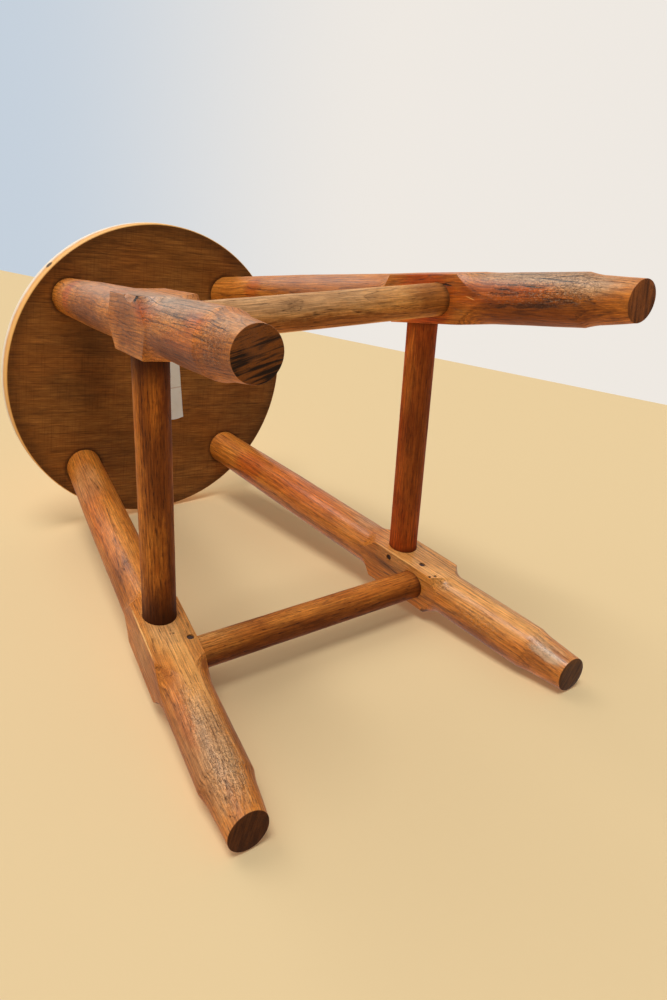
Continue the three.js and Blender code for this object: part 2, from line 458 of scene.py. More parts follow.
def rod_mesh(radius, low, high, place, columns=96):
    """A plain round rod about Z, as a cutting tool."""
    turns = np.arange(columns) * 2 * math.pi / columns
    rings = [(radius * math.cos(t), radius * math.sin(t), z) for z in (low, high) for t in turns]
    sides = [(i, (i + 1) % columns, columns + (i + 1) % columns, columns + i)
             for i in range(columns)]
    ends = [tuple(reversed(range(columns))), tuple(range(columns, 2 * columns))]
    mesh = bpy.data.meshes.new("rod")
    mesh.from_pydata(rings, [], sides + ends)
    mesh.transform(place)
    return outward(mesh)


def stone_mesh(spot, size_, turn, seed, rough=0.22):
    """A small rough lump, as a tool that chips an edge."""
    dice = np.random.default_rng(seed)
    lump = bmesh.new()
    bmesh.ops.create_icosphere(lump, subdivisions=2, radius=1.0)
    for vertex in lump.verts:
        vertex.co *= 1 + dice.uniform(-rough, rough)
    mesh = bpy.data.meshes.new("stone")
    lump.to_mesh(mesh)
    lump.free()
    mesh.transform(Matrix.Translation(spot) @ turn @ Matrix.Diagonal((*size_, 1.0)))
    return outward(mesh)


def piece(name, mesh, slot_name, *nodes, sharp=32):
    """Makes a finished mesh a piece of the stool that stands for the named nodes."""
    mesh.shade_smooth()
    mesh.set_sharp_from_angle(angle=math.radians(sharp))
    for attribute in [a.name for a in mesh.attributes
                      if a.name.startswith(ROW_MARK) or a.name == TURN]:
        mesh.attributes.remove(mesh.attributes[attribute])
    obj = link(name, mesh)
    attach(obj, BODY)
    if nodes:
        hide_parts(*nodes)


# Shader groups and materials

# Noises in oak: the size of their features in millimetres, across and along the grain, their
# detail, their roughness and what is added to the seed
OAK_NOISES = {
    "drift": ((30, 30, 150), 2.0, 0.5, 0.0),
    "sway": ((7, 7, 34), 2.0, 0.6, 3.1),
    "fibre": ((0.9, 0.9, 22), 3.0, 0.65, 7.0),
    "blotch": ((13, 13, 40), 4.0, 0.62, 9.0),
    "streak": ((2.4, 2.4, 44), 3.0, 0.6, 13.0),
    "turning": ((9, 9, 0.9), 2.0, 0.6, 15.0),
}


def oak_tree():
    """Oak round a pith: rings, pores, streaks and blotches, with Z along the grain."""
    net, given = new_tree("aged oak", "ShaderNodeTree", {
        "Place": (0.0, 0.0, 0.0), "Pith": (40.0, 60.0, 0.0), "Ring Width": 2.6, "Wander": 3.0,
        "Pale": (0.5, 0.25, 0.1, 1.0), "Deep": (0.3, 0.12, 0.04, 1.0),
        "Line": (0.1, 0.04, 0.02, 1.0), "Rings": 0.5, "Pores": 0.6, "Pore Length": 7.0,
        "Blotches": 0.6, "Streaks": 0.5, "Turning": 0.3, "Seed": 0.0,
    }, {"Color": "Color", "Height": "Float", "Dirt": "Float"})
    place, seed = given["Place"], given["Seed"]
    rings, pores, turning = given["Rings"], given["Pores"], given["Turning"]
    drift, sway, fibre, blotch, streak, turned = (
        net.noise(place, size_, detail, rough, seed + shift)
        for size_, detail, rough, shift in OAK_NOISES.values())
    x, y, _ = net.split(place)
    pith_x, pith_y, _ = net.split(given["Pith"])
    across, up = x - pith_x, y - pith_y
    wander = given["Wander"] * ((drift - 0.5) * 4.0 + (sway - 0.5))
    turns = ((across * across + up * up) ** 0.5 + wander) / given["Ring Width"]
    phase = net.math("FRACT", turns)
    year = net.value("ShaderNodeTexWhiteNoise", {"W": net.math("FLOOR", turns) + seed},
                     noise_dimensions="1D")
    early = net.step(phase, 0.0, 0.5, 1.0, 0.0) + net.step(phase, 0.9, 1.0)
    early = early * (year * 0.7 + 0.3)
    pore = net.noise(place, (0.7, 0.7, given["Pore Length"]), 1.0, 0.5, seed + 5.0)
    pore = net.step(pore, 0.54, 0.68) * (early * 0.8 + 0.3)
    blotch = net.step(blotch, 0.34, 0.66)
    streak = net.step(streak, 0.42, 0.7)
    shade = net.step(fibre, 0.3, 0.7, 0.68, 1.36)
    shade = shade * net.step(turned, 0.3, 0.7, 1.0 - turning * 0.5, 1.0)
    color = net.mix(blotch * given["Blotches"], given["Pale"], given["Deep"])
    color = net.mix(streak * given["Streaks"], color, given["Deep"])
    color = net.mix(early * rings, color, given["Line"])
    color = net.mix(1.0, color, net.join(shade, shade, shade), "MULTIPLY")
    color = net.mix(pore * pores, color, given["Line"])
    height = fibre * 0.6 - pore * pores - early * rings * 0.5 + turned * turning
    return end_tree(net, Color=color, Height=height, Dirt=blotch)


def mark_tree():
    """A stain, scratch or crack on a round form, in millimetres round and along it."""
    net, given = new_tree("surface mark", "ShaderNodeTree", {
        "Place": (0.0, 0.0, 0.0), "Bearing": 0.0, "Height": 100.0, "Width": 5.0, "Length": 20.0,
        "Slant": 0.0, "Ragged": 1.0, "Soft": 0.5, "Seed": 0.0}, {"Mask": "Float"})
    x, y, z = net.split(given["Place"])
    cos, sin = net.math("COSINE", given["Bearing"]), net.math("SINE", given["Bearing"])
    ahead, aside = x * cos + y * sin, y * cos - x * sin
    around = net.math("ARCTAN2", aside, ahead) * (x * x + y * y) ** 0.5
    along = z - given["Height"]
    fine = net.noise(given["Place"], (3.0, 3.0, 8.0), 3.0, 0.65, given["Seed"]) - 0.5
    around = around - given["Slant"] * along + fine * given["Ragged"] * 3.0
    wide, long = around / given["Width"], along / given["Length"]
    reach = (wide * wide + long * long) ** 0.5 + fine * given["Soft"]
    return end_tree(net, Mask=net.step(reach, 1.0 - given["Soft"], 1.0, 1.0, 0.0))


def crazed_tree():
    """Fine wavy cracks in old varnish, as thin level lines of a noise, and dry flakes."""
    net, given = new_tree("crazed varnish", "ShaderNodeTree", {
        "Place": (0.0, 0.0, 0.0), "Size": 1.5, "Seed": 0.0}, {"Lines": "Float", "Flakes": "Float"})
    width = given["Size"]
    level = net.noise(given["Place"], (width, width, width * 2.2), 2.5, 0.55, given["Seed"])
    flakes = net.noise(given["Place"], (1.1, 1.1, 2.6), 2.0, 0.6, given["Seed"] + 4.0)
    return end_tree(net, Lines=net.step(abs(level - 0.5), 0.03, 0.004),
                    Flakes=net.step(flakes, 0.52, 0.66))


def sawn_tree():
    """Sawn end grain: uneven stripes across the end, at a bearing in radians."""
    net, given = new_tree("end grain", "ShaderNodeTree", {
        "Place": (0.0, 0.0, 0.0), "Bearing": 0.0, "Spacing": 2.0, "Share": 0.5, "Slope": 0.0,
        "Sharp": 0.5, "Seed": 0.0}, {"Stripes": "Float", "Fine": "Float"})
    x, y, _ = net.split(given["Place"])
    cos, sin = net.math("COSINE", given["Bearing"]), net.math("SINE", given["Bearing"])
    across = y * cos - x * sin
    turned = net.join(x * cos + y * sin, across, 0.0)
    spacing = given["Spacing"]
    stripes = net.noise(turned, (spacing * 12.0, spacing, spacing), 2.0, 0.5, given["Seed"])
    edge = (1.0 - given["Sharp"]) * 0.2 + 0.01
    level = 0.66 - given["Share"] * 0.32 - across * given["Slope"]
    fine = net.noise(turned, (5.0, 0.6, 1.0), 2.0, 0.6, given["Seed"] + 3.0)
    return end_tree(net, Stripes=net.step(stripes, level - edge, level + edge), Fine=fine)


TREES = {"aged oak": oak_tree, "surface mark": mark_tree, "end grain": sawn_tree,
         "crazed varnish": crazed_tree, "turned form": turned_tree, "driven nails": nails_tree}


def group_named(name):
    """A node group, made when it is first wanted."""
    return bpy.data.node_groups.get(name) or TREES[name]()


def fresh_net(owner):
    """The net of a material's or a world's emptied node tree."""
    owner.use_nodes = True
    owner.node_tree.nodes.clear()
    return Net(owner.node_tree)


class Look:
    """A material in the making: its net, its place in the piece's own frame, colour and height."""

    def __init__(self, name, place, pale, deep):
        self.material = bpy.data.materials.new(name)
        net = self.net = fresh_net(self.material)
        self.spot = net.value("ShaderNodeTexCoord", output="Object")
        self.place = net.value("ShaderNodeMapping", {
            "Vector": self.spot, "Location": place.translation, "Rotation": place.to_euler(),
            "Scale": (MM, MM, MM)}, vector_type="TEXTURE")
        self.inward = place.inverted()
        self.pale, self.deep = pale, deep

    def tone(self, mask, pale, deep):
        """Gives the wood another pair of colours where a mask is. It goes before the grain."""
        self.pale = self.net.mix(mask, self.pale, pale)
        self.deep = self.net.mix(mask, self.deep, deep)

    def grain(self, gloss, **values):
        made = self.net.group("aged oak", Place=self.place, Pale=self.pale, Deep=self.deep,
                              **values)
        self.color, self.height = self.net.out(made, "Color"), self.net.out(made, "Height")
        self.rough = self.net.out(made, "Dirt") * 0.14 + gloss

    def mark(self, bearing, height, width, length, seed, ragged=1.0, slant=0.0, soft=0.7):
        made = self.net.group("surface mark", Place=self.place, Bearing=math.radians(bearing),
                              Height=height, Width=width, Length=length, Slant=slant,
                              Ragged=ragged, Soft=soft, Seed=seed)
        return self.net.out(made, "Mask")

    def away_from(self, spot):
        """The distance in millimetres from a spot of the stool, which is given in metres."""
        return self.net.vector("DISTANCE", self.place, tuple(self.inward @ spot / MM),
                               output="Value")

    def paint(self, mask, color, depth=0.0, rough=0.0):
        """Lays a colour over the piece where a mask is, and sinks and dulls it there."""
        self.color = self.net.mix(mask, self.color, color)
        if depth:
            self.height = self.height - mask * depth
        if rough:
            self.rough = self.rough + mask * rough

    def finish(self, bump, coat=0.0, coat_rough=0.26):
        relief = self.net.value("ShaderNodeBump", {
            "Strength": 1.0, "Distance": bump * MM, "Height": self.height})
        shader = self.net.value("ShaderNodeBsdfPrincipled", {
            "Base Color": self.color, "Roughness": self.rough, "Normal": relief,
            "Specular IOR Level": 0.2, "Coat Weight": coat, "Coat Roughness": coat_rough})
        self.net.node("ShaderNodeOutputMaterial", {"Surface": shader})
        return self.material


# Sizes and colours

def size(name, description, millimetres):
    return FloatProperty(name=name, description=description, default=millimetres * MM,
                         unit="LENGTH", precision=4, min=0.0)


def tint(name, description, default):
    return FloatVectorProperty(name=name, description=description, default=default, size=3,
                               subtype="COLOR", min=0.0, max=1.0)


def facets(description, default, least):
    return IntProperty(name="Columns", description=description, default=default, min=least)


def light(name, description, default):
    return FloatProperty(name=name, description=f"Strength of the {description}", default=default,
                         min=0.0)


class LegSizes(bpy.types.PropertyGroup):
    foot_radius: size("Foot radius", "Radius of the sawn foot", 14.5)
    ankle_height: size("Ankle height", "Upright height of the ankle's narrow end", 26)
    ankle_radius: size("Ankle radius", "Radius below the ankle's step", 16.6)
    ankle_step: size("Ankle step", "Height in which the ankle widens to the round", 13)
    round_radius: size("Round radius", "Radius of the turned shank", 18.97)
    block_half: size("Block half width", "Half the side of the square block", 19)
    corner_radius: size("Corner radius", "Radius the shoulders reach at the block's ends", 27.37)
    block_bottom: size("Block bottom", "Upright height of the block's lower corners", 137)
    block_top: size("Block top", "Upright height of the block's upper corners", 203)
    upper_shoulder: size("Upper shoulder", "Height of the hollow over the block", 21)
    neck_reach: size("Neck reach", "Height in which the round narrows to a neck", 26)
    thigh_height: size("Thigh height", "Upright height at which the taper to the head starts", 330)
    thigh_radius: size("Thigh radius", "Radius where the taper to the head starts", 18.7)
    head_radius: size("Head radius", "Radius of the head in the seat", 17.25)
    head_depth: size("Head depth", "Depth of the head in the seat", 12)
    waver: size("Waver", "How far a shoulder or an ankle wanders up and down round the leg", 9)
    unevenness: size("Unevenness", "How far hand work leaves the turned form", 0.22)
    columns: facets("Facets round a leg", 160, 16)


class RodSizes(bpy.types.PropertyGroup):
    radius: size("Radius", "Radius of a stretcher", 12.75)
    chamfer: size("Chamfer", "Chamfer on a stretcher's ends", 1)
    unevenness: size("Unevenness", "How far hand work leaves the round", 0.25)
    clearance: size("Clearance", "Gap round a stretcher, a head or a nail in its hole", 0.3)
    mouth: size("Mouth", "Length of a stretcher that is inside a leg", 23)
    columns: facets("Facets round a stretcher", 96, 16)


class SeatSizes(bpy.types.PropertyGroup):
    top_round: size("Top round", "Radius of the seat's upper edge", 4)
    bottom_round: size("Bottom round", "Radius of the seat's lower edge", 1.5)
    unevenness: size("Unevenness", "How far the seat's faces stray from flat", 0.12)
    columns: facets("Facets round the seat", 256, 32)


class NailSizes(bpy.types.PropertyGroup):
    length: size("Length", "Length of a nail", 27)
    radius: size("Radius", "Radius of the shank", 1.5)
    point: size("Point", "Length of the point", 4)
    head_radius: size("Head radius", "Radius of the head", 2.5)
    head_thickness: size("Head thickness", "Thickness of the head", 1.2)


class LabelSizes(bpy.types.PropertyGroup):
    width: size("Width", "Width of the paper", 34)
    length: size("Length", "Length of the paper", 66)
    thickness: size("Thickness", "Thickness of the paper", 0.15)
    lift: size("Lift", "How far the paper's waves stand off the seat", 0.9)


class Finishes(bpy.types.PropertyGroup):
    orange_pale: tint("Orange, pale", "Clear varnished oak", (0.78, 0.275, 0.038))
    orange_deep: tint("Orange, deep", "Darker blotches in varnished oak", (0.5, 0.13, 0.012))
    honey_pale: tint("Honey, pale", "Lighter varnished oak", (0.92, 0.44, 0.12))
    honey_deep: tint("Honey, deep", "Darker blotches in lighter oak", (0.68, 0.26, 0.05))
    rust_pale: tint("Rust, pale", "Reddish varnish", (0.66, 0.13, 0.012))
    rust_deep: tint("Rust, deep", "Darker blotches in reddish varnish", (0.4, 0.055, 0.004))
    tan_pale: tint("Weathered, pale", "Dry wood whose varnish is gone", (0.62, 0.38, 0.2))
    tan_deep: tint("Weathered, deep", "Darker blotches in dry wood", (0.38, 0.18, 0.07))
    brown_pale: tint("Brown, pale", "Dark stained oak", (0.36, 0.1, 0.014))
    brown_deep: tint("Brown, deep", "Darker blotches in stained oak", (0.17, 0.04, 0.005))
    seat_pale: tint("Seat, pale", "Oak under the seat", (0.41, 0.175, 0.04))
    seat_deep: tint("Seat, deep", "Darker blotches under the seat", (0.25, 0.095, 0.018))
    seat_warm_pale: tint("Warm seat, pale", "Warmer patches under the seat", (0.47, 0.165, 0.029))
    seat_warm_deep: tint("Warm seat, deep", "Darker blotches in the warmer patches",
                         (0.29, 0.098, 0.0165))
    line: tint("Grain lines", "Dirt in the grain's pores", (0.04, 0.01, 0.003))
    dirt: tint("Dirt", "Black dirt in the end grain and in cracks", (0.012, 0.008, 0.006))
    edge: tint("Worn edge", "Rubbed edges, where pale wood shows", (0.93, 0.5, 0.15))
    # The cream is worn wood with a painted highlight on the seat's upper edge
    cream: tint("Cream", "Bare rubbed wood on the seat's upper edge", (0.92, 0.83, 0.69))
    flake: tint("Flake", "Dry flakes in crazed varnish", (0.66, 0.46, 0.28))
    iron: tint("Iron", "Nails", (0.045, 0.033, 0.03))
    iron_rust: tint("Iron rust", "Rust on the nails", (0.1, 0.045, 0.025))
    paper: tint("Paper", "The blank label", (0.9, 0.95, 1.0))


class StageLook(bpy.types.PropertyGroup):
    floor: tint("Floor", "Pale floor", (0.76, 0.58, 0.325))
    wall: tint("Backdrop", "Pale backdrop", (0.86, 0.815, 0.76))
    wall_cool: tint("Cool backdrop", "Pale backdrop on the window's side", (0.56, 0.635, 0.72))
    key: light("Key light", "wide soft sun", 1.5)
    high: light("High light", "second soft sun", 0.6)
    glint: light("Glint", "narrower sun that glints on varnish", 0.5)
    fill: light("Fill light", "sun over the seat", 0.5)
    under: light("Low fill light", "sun from under the lying stool", 0.36)
    sky: light("Ambient light", "even light", 0.46)


GROUPS = {"stool_leg": LegSizes, "stool_rod": RodSizes, "stool_seat": SeatSizes,
          "stool_nail": NailSizes, "stool_label": LabelSizes, "stool_finish": Finishes,
          "stool_stage": StageLook}


# Outlines

# The radius at which the outline of a flat end starts, next to the axis
CORE = 0.5 * MM


def plain_row(radius, height, rough=1.0, crease=0.0):
    return (radius, height, 0.0, 0.0, rough, crease)


def even(start, end, step):
    """Heights from start to just short of end, evenly spaced by about a step."""
    count = max(1, round(abs(end - start) / step))
    return [start + (end - start) * i / count for i in range(count)]


def between(low, high, step, start, end, rough=1.0, power=1.0):
    """Rows from one height to just short of another, while the radius goes from start to end."""
    rows = []
    for height in even(low, high, step):
        share = ((height - low) / (high - low)) ** power
        rows.append(plain_row(start + (end - start) * share, height, rough))
    return rows


def shoulder_rows(round_end, block_end, radius, count=10):
    """Rows of a hollow shoulder, from the round to the block, with one along the flats' edges."""
    return [(radius, round_end, block_end - round_end, i / count, 1.0, float(i == count))
            for i in range(2 * count)]


def wavered(row, creases):
    """A row with how much it follows the nearest crease's wandering, and that crease's number."""
    _, height, span, stage, *_ = row
    height += span * stage / 2
    share, number = max((max(0.0, 1 - abs(height - place) / reach), index)
                        for index, (place, reach) in enumerate(creases))
    return (*row, share, float(number))


def leg_rows(sizes, shoulder, neck_depth, rise, top):
    """A leg's outline from the foot up. Upright heights grow by its rise to lengths along it."""
    step, ankle_step, ankle_power, worn, block_rough = 2.6 * MM, 1 * MM, 1.4, 0.5 * MM, 0.4
    foot, ankle, full, head = (sizes.foot_radius, sizes.ankle_radius, sizes.round_radius,
                               sizes.head_radius)
    neck = full - neck_depth * MM
    bottom, block_top = sizes.block_bottom, sizes.block_top
    ankle_top = sizes.ankle_height + sizes.ankle_step
    low_round, high_round = bottom - shoulder * MM, block_top + sizes.upper_shoulder
    neck_start, head_start = low_round - sizes.neck_reach, top / rise - 2 * sizes.head_depth
    rows = [
        *(plain_row(radius, 0.0, 0.0) for radius in (CORE, 5 * MM, 10 * MM)),
        plain_row(foot - worn, 0.0, 0.0, 1.0), plain_row(foot - 0.3 * worn, 0.3 * worn, 0.0),
        plain_row(foot, worn, 0.0),
        *between(2 * worn, sizes.ankle_height, step, foot, ankle, 0.5),
        *between(sizes.ankle_height, ankle_top, ankle_step, ankle, full, power=ankle_power),
        *between(ankle_top, neck_start, step, full, full),
        *between(neck_start, low_round, step, full, neck),
        *shoulder_rows(low_round, bottom, neck),
        *((neck, height, 0.0, 2.0, block_rough, 0.0) for height in even(bottom, block_top, step)),
        (full, block_top, 0.0, 2.0, block_rough, 0.0),
        *reversed(shoulder_rows(high_round, block_top, full)),
        *between(high_round + step, sizes.thigh_height, step, full, sizes.thigh_radius),
        *between(sizes.thigh_height, head_start, step, sizes.thigh_radius, head)]
    # The creases that wander: a height and how far from it rows still follow
    creases = ((ankle_top, 20 * MM), (bottom - 6 * MM, 24 * MM), (block_top + 6 * MM, 24 * MM))
    rows = [(radius, height * rise, span * rise, *rest)
            for radius, height, span, *rest in (wavered(row, creases) for row in rows)]
    straight = [*between(head_start * rise, top, step, head, head, 0.0),
                plain_row(head, top, 0.0, 1.0), plain_row(CORE, top, 0.0)]
    return rows + [(*row, 0.0, 0.0) for row in straight]


def rod_rows(sizes, length):
    radius, chamfer, step = sizes.radius, sizes.chamfer, 3 * MM
    return [plain_row(CORE, 0.0, 0.0), plain_row(radius - chamfer, 0.0, 0.0, 1.0),
            *between(chamfer, length - chamfer, step, radius, radius),
            plain_row(radius, length - chamfer, 0.0), plain_row(radius - chamfer, length, 0.0, 1.0),
            plain_row(CORE, length, 0.0)]


def quarter(radius, count):
    """Steps round a quarter of a circle, as how far each is from both of its tangents."""
    turns = [math.radians(90 * i / count) for i in range(count + 1)]
    return [(radius * (1 - math.sin(turn)), radius * (1 - math.cos(turn))) for turn in turns]


def seat_rows(sizes, radius, thickness):
    low, high, wide_step, step, rough = sizes.bottom_round, sizes.top_round, 4 * MM, 2 * MM, 0.3
    return [*(plain_row(out, 0.0) for out in even(CORE, radius - low, wide_step)),
            *(plain_row(radius - inward, up, rough) for inward, up in quarter(low, 6)),
            *(plain_row(radius, up, rough) for up in even(low, thickness - high, step)[1:]),
            *(plain_row(radius - inward, thickness - down, rough)
              for down, inward in quarter(high, 8)),
            *(plain_row(out, thickness, 0.0) for out in even(radius - high, CORE, wide_step)[1:]),
            plain_row(CORE, thickness, 0.0)]


def nail_rows(sizes):
    """A nail's outline from its tip to the slightly domed head."""
    shank, head, neck, tip = sizes.radius, sizes.head_radius, -sizes.head_thickness, 0.1 * MM
    return [plain_row(tip, -sizes.length), plain_row(shank, sizes.point - sizes.length, crease=1.0),
            plain_row(shank, neck, crease=1.0), plain_row(head, neck, crease=1.0),
            plain_row(head, -0.35 * MM), plain_row(0.86 * head, -0.1 * MM), plain_row(tip, 0.0)]
